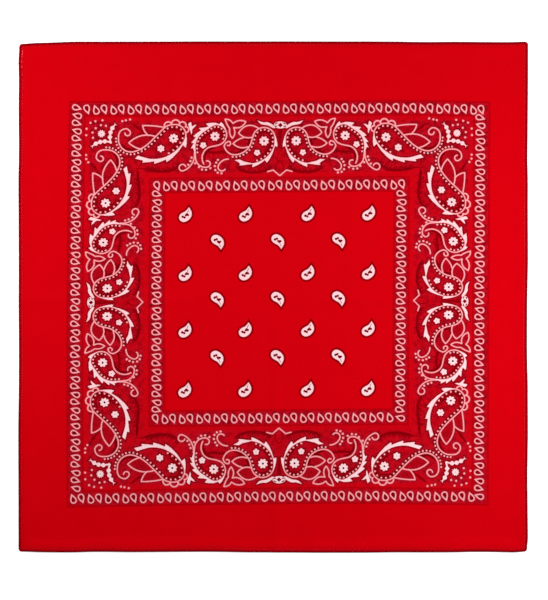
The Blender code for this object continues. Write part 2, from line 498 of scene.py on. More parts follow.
def smooth(anchors: Sequence[Point], steps: int = 3) -> Line:
    """Return a closed curve through anchors, with a sharp corner where one is given twice.

    Args:
        anchors: the points it passes through.
        steps: how many steps lie between two of them.

    Returns:
        The points.
    """
    count = len(anchors)
    line: Line = []
    for number in range(count):
        before, here, there, after = (anchors[(number + k) % count] for k in (-1, 0, 1, 2))
        if here == there:
            continue
        for step in range(steps):
            t = step / steps
            spot = []
            for a, b, c, d in zip(before, here, there, after):
                bend = 2 * b + (c - a) * t + (2 * a - 5 * b + 4 * c - d) * t**2
                spot.append((bend + (3 * b - a - 3 * c + d) * t**3) / 2.0)
            line.append(tuple(spot))
    return line


def runs(line: Line) -> tuple[np.ndarray, np.ndarray]:
    """Return a line's points, and how far along the line each of them lies.

    Args:
        line: the line.

    Returns:
        Its points, and one length for each.
    """
    spots = np.array(line)
    steps = np.linalg.norm(np.diff(spots, axis=0), axis=1)
    return spots, np.concatenate([[0.0], np.cumsum(steps)])


def spot_at(spots: np.ndarray, run: np.ndarray, place: float) -> Point:
    """Return the point that lies a given way along a line."""
    return float(np.interp(place, run, spots[:, 0])), float(np.interp(place, run, spots[:, 1]))


def spots_along(line: Line, start: float, end: float, pitch: float, ease: float = 0.0) -> Line:
    """Return points from one share of a line's length to another.

    Args:
        line: the line.
        start: the first point's share.
        end: the last point's share.
        pitch: how far apart they are, on average.
        ease: how much closer than that they start, as a share of the pitch.

    Returns:
        The points.
    """
    spots, run = runs(line)
    count = max(1, round(run[-1] * (end - start) / pitch))
    places = (k / count for k in range(count + 1))
    shares = (start + (end - start) * (t + ease * t * (t - 1.0)) for t in places)
    return [spot_at(spots, run, run[-1] * share) for share in shares]


def line_normals(spots: np.ndarray, closed: bool = False) -> np.ndarray:
    """Return normals on the left of a line, longer where it has a corner.

    Args:
        spots: the line's points.
        closed: whether it closes on its start.

    Returns:
        One normal for each point.
    """
    if closed:
        ahead, behind = np.roll(spots, -1, axis=0), np.roll(spots, 1, axis=0)
    else:
        ahead = np.vstack([spots[1:], 2 * spots[-1] - spots[-2]])
        behind = np.vstack([2 * spots[0] - spots[1], spots[:-1]])
    way_out = unit(ahead - spots)
    mean = unit(unit(spots - behind) + way_out)
    spread = np.maximum((mean * way_out).sum(axis=1), SHARPEST)[:, None]
    return np.stack([-mean[:, 1], mean[:, 0]], axis=1) / spread


def beside(line: Line, distance: float | np.ndarray) -> Line:
    """Return a line moved sideways, to its left where distance is above 0."""
    spots = np.array(line)
    return [tuple(spot) for spot in spots + line_normals(spots) * np.reshape(distance, (-1, 1))]


def signed_area(outline: Line) -> float:
    """Return a closed outline's area, above 0 if it runs counter-clockwise.

    Args:
        outline: its corners.

    Returns:
        The area.
    """
    spots = np.array(outline)
    ahead = np.roll(spots, -1, axis=0)
    return float((spots[:, 0] * ahead[:, 1] - ahead[:, 0] * spots[:, 1]).sum() / 2.0)


def grown(outline: Line, distance: float) -> Line:
    """Return a closed outline moved outwards by a distance.

    Args:
        outline: its corners.
        distance: how far they move, inwards where below 0.

    Returns:
        The moved corners.
    """
    spots = np.array(outline)
    out = distance if signed_area(outline) < 0 else -distance
    return [tuple(spot) for spot in spots + line_normals(spots, closed=True) * out]


def ribbon(line: Line, width: float, tips: Tips = FULL) -> Line:
    """Return the outline of a drawn line with round ends.

    Args:
        line: its middle.
        width: its full width.
        tips: the share of the width that is left at its two ends.

    Returns:
        Its corners.
    """
    spots, run = runs(line)
    taper = min(run[-1] / 2.0, TAPER)
    start = tips[0] + (1.0 - tips[0]) * soft_step(run / taper)
    end = tips[1] + (1.0 - tips[1]) * soft_step((run[-1] - run) / taper)
    half = width / 2.0 * np.minimum(start, end)
    first = spots[0] - (spots[1] - spots[0]) / run[1] * half[0]
    last = spots[-1] + (spots[-1] - spots[-2]) / (run[-1] - run[-2]) * half[-1]
    return [*beside(line, half), tuple(last), *beside(line, -half)[::-1], tuple(first)]


# ---------------------------------------------------------------------------
# Closed shapes about their own middle
# ---------------------------------------------------------------------------


def thinned(outline: Line, slack: float) -> Line:
    """Return a closed outline without the corners that lie within `slack` of their neighbours' line.

    Args:
        outline: its corners.
        slack: how far a corner that is left out may lie off.

    Returns:
        The corners that are left.
    """
    spots = np.array(outline)
    for start in (0, 1, 0):
        if len(spots) < 8:
            break
        behind, ahead = np.roll(spots, 1, axis=0), np.roll(spots, -1, axis=0)
        way = ahead - behind
        off = way[:, 0] * (spots[:, 1] - behind[:, 1]) - way[:, 1] * (spots[:, 0] - behind[:, 0])
        straight = np.abs(off) < slack * np.maximum(np.linalg.norm(way, axis=1), 1e-9)
        straight[1 - start :: 2] = False
        spots = spots[~straight]
    return [tuple(spot) for spot in spots]


def disc(radius: float, corners: int = 9) -> Line:
    """Return a round dot."""
    turns = (2.0 * pi * corner / corners for corner in range(corners))
    return [(radius * cos(turn), radius * sin(turn)) for turn in turns]


def drop(length: float, width: float, corners: int = 16, sharp: float = 1.3) -> Line:
    """Return a drop whose tip points up.

    Args:
        length: how long it is.
        width: how wide it is.
        corners: how many corners it has.
        sharp: how thin its tip is.

    Returns:
        Its corners.
    """
    fullest = max(sin(t / 50.0) * sin(t / 100.0) ** sharp for t in range(1, 157))
    line = []
    for corner in range(corners):
        turn = 2.0 * pi * corner / corners
        side = sin(turn) * abs(sin(turn / 2.0)) ** sharp / fullest
        line.append((side * width / 2.0, cos(turn) * length / 2.0))
    return line


def blossom(radius: float, petals: int, dent: float = 0.24) -> Line:
    """Return a flower's outline: round petals, with dents between them.

    Args:
        radius: how far its petals reach.
        petals: how many it has.
        dent: how deep the dents are, as a share of the radius.

    Returns:
        Its corners.
    """
    steps = petals * 4
    line = []
    for step in range(steps):
        turn = 2.0 * pi * step / steps
        reach = radius * (1.0 - dent * (1.0 - abs(cos(petals * turn / 2.0)) ** 0.7))
        line.append((reach * cos(turn), reach * sin(turn)))
    return line


def turned(outline: Line, angle: float, at: Point = (0.0, 0.0)) -> Line:
    """Return an outline turned by degrees about its middle, and moved to a place."""
    c, s = cos(radians(angle)), sin(radians(angle))
    return [(x * c - y * s + at[0], x * s + y * c + at[1]) for x, y in outline]


# ---------------------------------------------------------------------------
# The pen
# ---------------------------------------------------------------------------

# A white line's width, a dot's radius, the width of a keyline, how far white areas thin out
# inwards, and how wide the thin rim of lines and dots is.
STROKE = 1.1
DOT = 1.1
KEY = 1.25
THINNING = 0.36
RIM = 0.34


@dataclass
class Drawing:
    """All printed shapes, each with its layer, on the true rectangle in millimetres.

    Attributes:
        fine: whether keylines, fringes and shading are drawn, or only the white ink.
        shapes: the shapes.
    """

    FINE_SLACK = 0.06
    COARSE_SLACK = 0.6

    fine: bool
    shapes: list[tuple[Layer, Ink, Line]] = field(default_factory=list)

    def add(self, outline: Line, ink: Ink, layer: Layer) -> None:
        """Add one shape.

        Args:
            outline: its corners.
            ink: what it is filled with.
            layer: how far up it lies.
        """
        if not self.fine and ink not in (Ink.WHITE, Ink.LINE):
            if layer is not Layer.CUT:
                return
            ink = Ink.GROUND
        slack = self.FINE_SLACK if self.fine else self.COARSE_SLACK
        self.shapes.append((layer, ink, thinned(outline, slack)))

    def ordered(self) -> Shapes:
        """Return the shapes from the lowest to the one that covers all."""
        return [(ink, outline) for _, ink, outline in sorted(self.shapes, key=lambda s: s[0].value)]


@dataclass(frozen=True)
class Chain:
    """A row of dots beside a line.

    Attributes:
        away: how far to the line's left it lies.
        start: the first dot's share of the line.
        end: the last dot's share.
        pitch: how far apart the dots are.
        ease: how much closer than that they start.
    """

    away: float
    start: float
    end: float
    pitch: float
    ease: float = 0.0


@dataclass(frozen=True)
class Barb:
    """A barb of a leaf's edge.

    Attributes:
        at: its share of the edge's length.
        reach: how far its tip stands out.
        hook: how far its tip leans on along the edge.
        back: how wide the leaf is just past it.
    """

    at: float
    reach: float
    hook: float
    back: float


@dataclass
class Pen:
    """Draws through a place, which lays the pen's own coordinates on the cloth.

    Attributes:
        drawing: where its shapes are added.
        place: what lays its coordinates.
    """

    drawing: Drawing
    place: Place

    def area(self, outline: Line, ink: Ink, layer: Layer) -> None:
        """Fill an outline."""
        self.drawing.add([self.place(*spot) for spot in outline], ink, layer)

    def band(
        self, line: Line, width: float, ink: Ink, layer: Layer = Layer.SHADE, tips: Tips = FULL
    ) -> None:
        """Draw a line in one ink, with the share of its width that is left at its two ends."""
        self.area(ribbon(line, width, tips), ink, layer)

    def dot(self, at: Point, radius: float, ink: Ink, layer: Layer = Layer.DETAIL, corners: int = 8) -> None:
        """Draw a dot in one ink."""
        self.area(turned(disc(radius, corners), 0.0, at), ink, layer)

    def white(self, outline: Line, key: float = KEY) -> None:
        """Fill an outline in white that thins out at its rim, with a dark keyline round it.

        Args:
            outline: its corners.
            key: how wide the keyline is.
        """
        self.area(grown(outline, key), Ink.KEYLINE, Layer.KEYLINE)
        self.area(outline, Ink.RIM, Layer.RIM)
        self.area(grown(outline, -THINNING), Ink.WHITE, Layer.SOLID)

    def stroke(self, line: Line, width: float = STROKE) -> None:
        """Draw a white line that thins out on both sides."""
        self.band(line, width + 2.0 * RIM, Ink.RIM, Layer.RIM)
        self.band(line, width, Ink.LINE, Layer.WHITE)

    def dots(self, spots: Sequence[Point], radius: float = DOT) -> None:
        """Draw white dots that thin out at their rims.

        Args:
            spots: their middles.
            radius: how large they are.
        """
        for spot in spots:
            self.dot(spot, radius + RIM, Ink.RIM, Layer.RIM, 9)
            self.dot(spot, radius, Ink.LINE)

    def chain(self, line: Line, chain: Chain) -> None:
        """Draw a dark band beside a line, with white dots along it.

        Args:
            line: the line.
            chain: where the dots lie beside it.
        """
        spots = spots_along(beside(line, chain.away), chain.start, chain.end, chain.pitch, chain.ease)
        self.band(spots, 2.0 * DOT + 0.9, Ink.DEEP)
        for spot in spots:
            self.dot(spot, DOT, Ink.LINE)

    def crescent(self, line: Line, start: float, end: float, away: float, width: float) -> None:
        """Draw a dark crescent beside a stretch of a line, from one share of it to another."""
        stretch = spots_along(line, start, end, LINE_PITCH)
        self.band(beside(stretch, away), width, Ink.DEEP, tips=(0.1, 0.1))

    def open_shape(self, sides: Sequence[Line], closed: bool) -> None:
        """Draw white lines end to end round a shaded inside, which they may leave open at its foot.

        Args:
            sides: the lines.
            closed: whether the last one ends where the first one starts.
        """
        inside = [spot for side in sides for spot in side[:-1]]
        self.area(inside if closed else [*inside, sides[-1][-1]], Ink.SHADE, Layer.SHADE)
        for side in sides:
            self.stroke(side)

    def barbed(self, line: Line, barbs: Sequence[Barb], side: float) -> None:
        """Draw a white leaf along a line: it widens to each barb, then steps back.

        Args:
            line: the smooth edge.
            barbs: the barbs, in order along the line.
            side: 1 to stand out on the line's left, and -1 on its right.
        """
        spots, run = runs(line)
        outward = line_normals(spots) * side
        ways = unit(np.gradient(spots, axis=0))

        def out(place: float, width: float, ahead: float = 0.0) -> Point:
            """Return the point beside the line at a run along it."""
            foot = moved(spot_at(spots, run, place), spot_at(outward, run, place), width)
            return moved(foot, spot_at(ways, run, place), ahead)

        outer: Line = []
        start, width = 0.0, 0.2
        for barb in barbs:
            end = run[-1] * barb.at
            for share in (0.0, 0.35, 0.7, 0.9):
                outer.append(out(start + (end - start) * share, width + (barb.reach - width) * share**1.3))
            outer.append(out(end, barb.reach, barb.hook))
            start, width = end, barb.back
        if start < run[-1] - 0.1:
            outer += [out(start, width), out(run[-1], 0.2)]
        self.white([*beside(line, -side * STROKE / 2.0)[::-1], *outer])

    def sprig(self, line: Line) -> None:
        """Draw a white sprig along a line: a thin foot, a row of tufts, and a forked end.

        Args:
            line: its middle, from its foot to its fork.
        """
        spots, run = runs(line)
        normals = line_normals(spots)
        widths = [2.4 if number < 4 else (2.0, 4.6, 5.5, 4.3)[number % 4] for number in range(17)]
        tufts = [(number / 19.0, width) for number, width in enumerate(widths)]
        left: Line = []
        right: Line = []
        for share, width in (*tufts, (0.92, 1.6), (1.0, 4.6)):
            place = run[-1] * share
            foot, across = spot_at(spots, run, place), spot_at(normals, run, place)
            left.append(moved(foot, across, width / 2.0))
            right.append(moved(foot, across, -width / 2.0))
        fork = spot_at(spots, run, run[-1] * 0.96)
        self.white([*left, fork, *right[::-1]])

    def fringe(self, line: Line, reach: float, pitch: float) -> None:
        """Draw a soft dark line with a fringe of uneven dark strokes out of its left.

        Args:
            line: the line.
            reach: how far the strokes reach, on average.
            pitch: how far apart they are.
        """
        self.band(line, 2.6, Ink.BAND, Layer.WASH, (0.4, 0.4))
        roots = spots_along(line, 0.02, 0.98, pitch)
        tips = spots_along(beside(line, reach), 0.02, 0.98, pitch)
        for number, (root, tip) in enumerate(zip(roots, tips)):
            way = (tip[0] - root[0], tip[1] - root[1])
            end = moved(root, way, 0.8 + 0.35 * sin(number * 2.4))
            self.band([root, end], 1.4, Ink.DEEP, tips=(1.0, 0.6))


# ---------------------------------------------------------------------------
# Where the print lies
# ---------------------------------------------------------------------------


@dataclass(frozen=True)
class Bow:
    """How one side of a printed frame strays from a straight line, in millimetres.

    Attributes:
        side: how far its middle lies to the right or up.
        slip: how far its middle lies on along the side, to the right or down.
        skew: above 1 if the strongest place lies past the middle.
    """

    side: float
    slip: float
    skew: float = 1.0

    def shift(self, share: float) -> tuple[float, float]:
        """Return how far a point strays sideways and along, at a share of the side."""
        share = min(max(share, 0.0), 1.0)
        return self.side * sin(pi * share**self.skew), self.slip * sin(pi * share)


STRAIGHT = Bow(side=0.0, slip=0.0)
NO_PAST = (0.0, 0.0, 0.0, 0.0)


@dataclass(frozen=True)
class Patch:
    """A printed frame: a true rectangle, laid a little askew between four corners.

    Attributes:
        width: the true rectangle's width.
        height: the true rectangle's height.
        top_left: where that corner lies.
        top_right: where that corner lies.
        bottom_right: where that corner lies.
        bottom_left: where that corner lies.
        top: how its top strays.
        bottom: how its bottom strays.
        left: how its left side strays.
        right: how its right side strays.
    """

    width: float
    height: float
    top_left: Point
    top_right: Point
    bottom_right: Point
    bottom_left: Point
    top: Bow = STRAIGHT
    bottom: Bow = STRAIGHT
    left: Bow = STRAIGHT
    right: Bow = STRAIGHT

    def lay(self, right: float, down: float) -> Point:
        """Lay a point, given from the frame's top left corner, on the cloth.

        Args:
            right: how far to the right of it the point lies.
            down: how far below it the point lies.

        Returns:
            The point on the cloth.
        """
        u, v = right / self.width, down / self.height
        corners = (self.top_left, self.top_right, self.bottom_right, self.bottom_left)
        shares = ((1 - u) * (1 - v), u * (1 - v), u * v, (1 - u) * v)
        x, y = (sum(share * corner[k] for share, corner in zip(shares, corners)) for k in (0, 1))
        for bow, share in ((self.top, 1 - v), (self.bottom, v)):
            side, slip = bow.shift(u)
            x, y = x + slip * share, y + side * share
        for bow, share in ((self.left, 1 - u), (self.right, u)):
            side, slip = bow.shift(v)
            x, y = x + side * share, y - slip * share
        return x, y

    def side(self, deep: float, number: int, past: Sequence[float] = NO_PAST) -> Line:
        """Return one side of a rectangle in the frame: top, right, bottom or left.

        Args:
            deep: how far inside the frame it lies.
            number: which side.
            past: how much further out its top, right, bottom and left lie.

        Returns:
            The points of the side.
        """
        top, left = deep - past[0], deep - past[3]
        right, down = self.width - deep + past[1], self.height - deep + past[2]
        corners = ((left, top), (right, top), (right, down), (left, down))
        return [self.lay(*spot) for spot in bowed(corners[number], corners[(number + 1) % 4], pitch=20.0)]

    def ring(self, past: Sequence[float] = NO_PAST) -> Line:
        """Return the whole rectangle."""
        return [spot for number in range(4) for spot in self.side(0.0, number, past)[:-1]]


# How far the mottled ground's top, right, bottom and left lie outside the border's frame.
GROUND_PAST = (1.3, 2.9, 2.2, 2.2)
OUTER_FRAME = Patch(
    width=459.0,
    height=442.8,
    top_left=(-222.2, 214.0),
    top_right=(235.7, 213.4),
    bottom_right=(233.9, -226.8),
    bottom_left=(-224.4, -228.8),
    top=Bow(side=1.7, slip=1.4, skew=3.0),
    bottom=Bow(side=2.7, slip=1.2, skew=1.3),
    left=Bow(side=-1.4, slip=-1.3),
    right=Bow(side=-0.3, slip=-1.5),
)
INNER_FRAME = Patch(
    width=284.7,
    height=272.0,
    top_left=(-135.4, 130.3),
    top_right=(149.2, 132.2),
    bottom_right=(148.2, -139.6),
    bottom_left=(-136.2, -142.0),
    left=Bow(side=-0.6, slip=0.0),
)
FIELD = Patch(
    width=252.0,
    height=240.0,
    top_left=(-119.3, 115.0),
    top_right=(133.2, 117.0),
    bottom_right=(131.4, -123.2),
    bottom_left=(-119.4, -125.6),
    left=Bow(side=-0.6, slip=0.0),
)


@dataclass(frozen=True)
class DropRow:
    """A row of drops in a frame, in millimetres from the frame's top left corner.

    Attributes:
        start: the first drop's place.
        end: the last drop's place.
        count: how many there are.
        turn: the first drop's turn.
        width: how wide a drop is.
        sag: how much lower the row hangs at its middle.
    """

    start: Point
    end: Point
    count: int
    turn: float
    width: float
    sag: float = 0.0

    def draw(self, drawing: Drawing, patch: Patch) -> None:
        """Draw the row, each drop turned half round from the last.

        Args:
            drawing: what it is added to.
            patch: the frame it lies in.
        """
        for number in range(self.count):
            share = number / (self.count - 1)
            right, down = (a + (b - a) * share for a, b in zip(self.start, self.end))
            at = patch.lay(right, down + self.sag * sin(pi * share))
            pen = Pen(drawing, lambda x, y, at=at: (at[0] + x, at[1] + y))
            turn = self.turn + (180.0 if number % 2 else 0.0)
            pen.area(turned(drop(11.7, self.width + 0.3), turn), Ink.RIM, Layer.RIM)
            pen.area(turned(drop(11.0, self.width - 0.4), turn), Ink.LINE, Layer.WHITE)
            head = turned([(0.0, -0.8)], turn)[0]
            pen.area(turned(drop(6.9, self.width - 2.9, 12), turn, head), Ink.HEART, Layer.CUT)


# How far a drop whose tip points up is turned, to point down, up or to the right.
TIP_DOWN, TIP_UP, TIP_RIGHT = 199.0, 19.0, -107.0
OUTER_ROWS = records(
    DropRow,
    "start end count turn width sag",
    ((17.7, 7.9), (452.4, 7.9), 47, TIP_DOWN, 7.5, -0.6),
    ((6.6, 5.9), (7.2, 424.5), 50, TIP_RIGHT, 7.0, 0.0),
    ((451.3, 16.7), (451.4, 435.2), 50, TIP_RIGHT, 7.0, 0.0),
    ((4.2, 435.8), (442.4, 435.8), 47, TIP_UP, 7.5, 1.1),
)
INNER_ROWS = records(
    DropRow,
    "start end count turn width",
    ((8.0, 8.3), (277.3, 8.2), 29, TIP_DOWN, 7.5),
    ((7.9, 17.1), (8.1, 254.1), 29, TIP_RIGHT, 7.0),
    ((276.7, 18.6), (276.0, 265.0), 30, TIP_RIGHT, 7.0),
    ((7.1, 264.1), (264.4, 264.2), 28, TIP_DOWN, 7.5),
)


# ---------------------------------------------------------------------------
# The border's motifs, in millimetres along a side and deep into the border
# ---------------------------------------------------------------------------


@dataclass(frozen=True)
class Boteh:
    """One large paisley of the border.

    Attributes:
        spine: the arcs of its outline, from its curl to its back.
        chain: its dots.
        edge: the arcs of its barbed leaf's smooth edge.
        tail: points that carry the leaf's edge on past its arcs.
        barbs: the leaf's barbs.
        side: the side of the edge on which the barbs stand.
        crescents: dark crescents: first and last share of the spine, how far beside it, width.
    """

    spine: tuple[Turn, ...]
    chain: Chain
    edge: tuple[Turn, ...]
    tail: tuple[Point, ...]
    barbs: tuple[Barb, ...]
    side: float
    crescents: tuple[tuple[float, float, float, float], ...]

    def draw(self, pen: Pen) -> None:
        """Draw the outline, its dots and its barbed leaf.

        Args:
            pen: what draws it.
        """
        line = swept(self.spine)
        pen.stroke(line)
        pen.chain(line, self.chain)
        for start, end, away, width in self.crescents:
            pen.crescent(line, start, end, away, width)
        pen.barbed([*swept(self.edge), *self.tail], self.barbs, self.side)


ARC = "along deep radius start end"
LEAF_BOTEH = Boteh(
    spine=records(
        Turn,
        ARC,
        (62.5, 33.0, 3.1, 180, -45),
        (60.4, 36.1, 7.8, -80, -172),
        (66.6, 40.1, 14.1, 180, 75),
        (112.0, 38.0, 14.2, -135, -100),
        (114.7, 35.5, 11.8, -80, 10),
        (91.4, 24.7, 37.7, 33, 66),
    ),
    chain=Chain(away=2.7, start=0.275, end=0.985, pitch=4.75, ease=0.25),
    edge=records(
        Turn,
        ARC,
        (114.7, 35.5, 11.8, -10, 10),
        (91.4, 24.7, 37.7, 33, 98),
    ),
    tail=((80.0, 60.4), (74.0, 58.5)),
    barbs=records(
        Barb,
        "at reach hook back",
        (0.2, 5.5, 0.8, 1.2),
        (0.55, 5.7, 0.3, 2.8),
        (0.73, 5.2, 0.0, 2.4),
        (0.9, 6.0, 0.0, 3.4),
        (1.0, 4.0, 2.2, 0.0),
    ),
    side=-1.0,
    crescents=((0.24, 0.5, -2.2, 2.6), (0.62, 0.97, 5.9, 1.6)),
)
HOOK_BOTEH = Boteh(
    spine=records(
        Turn,
        ARC,
        (157.9, 61.0, 13.3, 148, 228),
        (159.7, 35.4, 11.7, 62, -84),
        (157.8, 49.0, 21.3, -120, -186),
        (148.4, 60.6, 11.0, 175, 75),
        (150.4, 67.6, 3.3, 30, -110),
    ),
    chain=Chain(away=-2.4, start=0.352, end=0.805, pitch=4.1),
    edge=records(
        Turn,
        ARC,
        (159.7, 35.4, 11.7, -15, -84),
        (157.8, 49.0, 21.3, -120, -186),
    ),
    tail=((136.9, 54.2), (137.0, 57.0)),
    barbs=records(
        Barb,
        "at reach hook back",
        (0.2, 4.2, -1.2, 1.1),
        (0.4, 5.9, 0.4, 1.7),
        (0.55, 6.2, 0.2, 2.8),
        (0.695, 5.1, 0.2, 2.0),
        (0.8, 4.8, 0.2, 2.0),
        (0.885, 4.5, 0.6, 2.3),
    ),
    side=1.0,
    crescents=((0.28, 0.66, -5.4, 1.4), (0.02, 0.2, 2.4, 2.4)),
)
CURL_BOTEH = Boteh(
    spine=records(
        Turn,
        ARC,
        (173.4, 45.0, 2.4, 120, -60),
        (175.0, 48.9, 6.3, -105, -175),
        (180.8, 45.6, 12.2, 165, 75),
        (180.2, 38.5, 19.2, 60, 15),
        (212.5, 39.7, 12.4, -155, 5),
        (198.2, 40.7, 27.1, 10, 78),
    ),
    chain=Chain(away=2.4, start=0.316, end=0.985, pitch=4.5, ease=0.1),
    edge=records(
        Turn,
        ARC,
        (212.5, 39.7, 12.4, -35, 5),
        (198.2, 40.7, 27.1, 10, 86),
    ),
    tail=((190.2, 65.5), (185.8, 63.2)),
    barbs=records(
        Barb,
        "at reach hook back",
        (0.25, 3.7, 0.4, 0.4),
        (0.545, 4.8, 0.0, 1.1),
        (0.765, 4.2, 0.0, 0.7),
        (0.96, 5.9, 0.6, 4.0),
        (1.0, 3.0, 5.0, 0.0),
    ),
    side=-1.0,
    crescents=((0.24, 0.46, -2.2, 3.0), (0.5, 0.93, 5.2, 1.4)),
)

SCALLOPS = records(
    Turn,
    ARC,
    (106.8, 24.8, 4.1, 165, 350),
    (115.0, 23.0, 4.5, 172, 365),
    (122.6, 24.6, 3.9, 195, 372),
    (126.5, 29.4, 3.1, 255, 450),
)
SECOND_TAIL = records(
    Turn,
    ARC,
    (117.2, 57.6, 19.1, -8, 62),
    (123.2, 71.8, 3.7, 85, 345),
)
SMALL_SCROLL = records(
    Turn,
    ARC,
    (173.3, 74.0, 11.6, -88, -155),
    (166.6, 71.3, 4.4, -178, -325),
)
SOLID_TULIP = (
    ((132.0, 20.0), (132.0, 20.0), (128.6, 22.8), (129.4, 27.0), (131.0, 31.5), (132.4, 35.8)),
    ((132.4, 35.8), (133.8, 32.6), (133.6, 29.9), (135.4, 27.6), (139.2, 23.6), (139.2, 23.6)),
    ((135.6, 23.8), (133.4, 25.0), (132.9, 22.8)),
)
TAIL_DOTS = ((133.1, 60.7), (131.8, 64.5), (129.6, 68.6))
HOOK_DOTS = ((137.0, 67.0), (141.4, 71.1), (144.7, 73.9), (149.1, 74.3), (153.8, 72.4))
SCROLL_DOTS = ((162.1, 63.3), (160.2, 66.3), (158.8, 70.2), (159.3, 74.7), (162.0, 77.5), (166.1, 78.3))
CORNER_DOTS = (
    ((21.6, 21.8), (27.0, 20.0), (34.8, 19.0), (17.4, 28.3), (17.1, 35.5), (33.0, 24.3), (38.6, 25.1)),
    ((27.4, 27.7), (24.0, 32.5), (24.6, 38.3)),
    ((56.5, 19.8), (60.3, 19.0), (65.0, 18.0), (17.3, 57.5), (17.5, 61.9), (19.8, 65.6)),
)
LEAF_CONTOUR = (
    ((121.0, 68.0), (121.0, 68.0), (115.5, 73.0), (108.0, 75.8), (98.0, 76.2)),
    ((88.0, 75.0), (80.0, 73.4), (80.0, 73.4)),
)
CURL_CONTOUR = (
    ((222.0, 71.5), (222.0, 71.5), (217.0, 75.0), (209.0, 77.2), (201.0, 77.8)),
    ((193.5, 77.0), (185.5, 74.0), (180.0, 69.0), (180.0, 69.0)),
)
WING = (
    ((204.9, 19.2), (204.9, 19.2), (208.2, 20.4), (212.4, 21.4), (216.0, 21.2), (219.6, 22.6)),
    ((222.4, 24.4), (225.0, 27.2), (224.0, 28.6), (220.8, 27.4), (216.8, 25.3), (212.6, 24.6)),
    ((208.9, 23.6), (206.4, 21.4)),
)
FIELD_PAISLEY = (
    ((3.8, 8.5), (3.8, 8.5), (6.0, 5.1), (7.1, 1.8), (6.5, -2.3), (3.1, -6.4), (-1.8, -8.35)),
    ((-5.8, -6.7), (-7.3, -3.3), (-6.1, 0.1), (-3.1, 2.4), (0.5, 4.4)),
)
FIELD_SPOTS = (
    ((1.6, 0.0), 1.7),
    ((3.0, -0.5), 1.3),
    ((0.4, -0.8), 1.2),
    ((-3.0, -2.4), 1.5),
    ((-0.9, -3.2), 1.4),
)
CORNER_FLOWER = (33.8, 33.8)

# Each flower: its place, radius, petals, turn, and the radius of its eye.
FLOWERS = (
    ((113.0, 39.1), 5.5, 8, 10.0, 1.25),
    ((99.2, 50.5), 4.3, 6, 30.0, 0.5),
    ((158.5, 37.0), 5.5, 8, 22.0, 1.25),
    ((145.7, 46.9), 3.9, 5, 18.0, 0.5),
    ((212.7, 42.5), 5.7, 8, 22.0, 1.25),
    ((205.2, 55.5), 3.8, 5, 18.0, 0.5),
)

# Each open leaf: its tip, its upper and lower foot, and how far its two sides bow.
LEAVES = (
    ((63.9, 44.0), (93.3, 37.0), (78.4, 51.2), 0.15, 0.08),
    ((78.8, 24.8), (102.9, 27.0), (85.6, 36.0), 0.03, 0.10),
    ((184.4, 33.4), (207.1, 28.6), (200.8, 37.8), 0.26, 0.17),
    ((178.6, 45.3), (190.0, 38.6), (195.3, 48.8), 0.08, 0.16),
)

# The open tulip's corners, each with the bow of the side that leads on from it.
OPEN_TULIP = (
    ((169.5, 17.9), -0.16),
    ((178.1, 22.7), -0.16),
    ((192.4, 20.8), -0.20),
    ((178.9, 27.2), -0.17),
    ((177.7, 39.3), -0.12),
    ((174.6, 28.4), -0.05),
)

# The dark marks on a wing, from the side's middle, each with its width.
WING_MARKS = (
    (((3.2, 22.6), (4.6, 22.8), (5.6, 23.8)), 1.1),
    (((3.6, 26.4), (4.6, 26.0)), 1.1),
    (((5.8, 25.4), (5.4, 26.6)), 1.0),
)

# The strokes of the dark fan in the middle of a side: how far aside each lies, and its length.
FAN = ((-4.6, 9.0), (-2.3, 12.0), (0.0, 14.0), (2.3, 12.0), (4.6, 9.0))

# The field's two sets of paisleys: their columns and rows, and whether they stand up or hang.
FIELD_SETS = (
    ((-96.8, -30.6, 38.1, 104.7), (90.7, 25.9, -36.4, -102.2), 1.0),
    ((-61.4, 4.9, 71.9), (60.1, -3.3, -67.4), -1.0),
)


def joined(parts: Sequence[Sequence[Point]]) -> Line:
    """Return one closed smooth outline through the points of several rows."""
    return smooth([spot for part in parts for spot in part])


# How the border's drawing is fitted to the left and right sides: it is stretched near the corner
# and less further on, drawn towards the outside past a place, and squeezed about the middle.
STRETCH, STRETCH_LOSS = 1.0105, 0.000195
DRAWN_OUT, DRAWN_FROM, DRAWN_OVER = 0.7, 170.0, 40.0
SQUEEZE, SQUEEZE_REACH = 0.85, 15.0

# How far the halves of the top side and of the bottom side are moved along and inwards.
TOP_MOVES = ((0.0, 0.8), (0.0, 0.8))
BOTTOM_MOVES = ((0.5, -0.3), (0.1, -0.3))


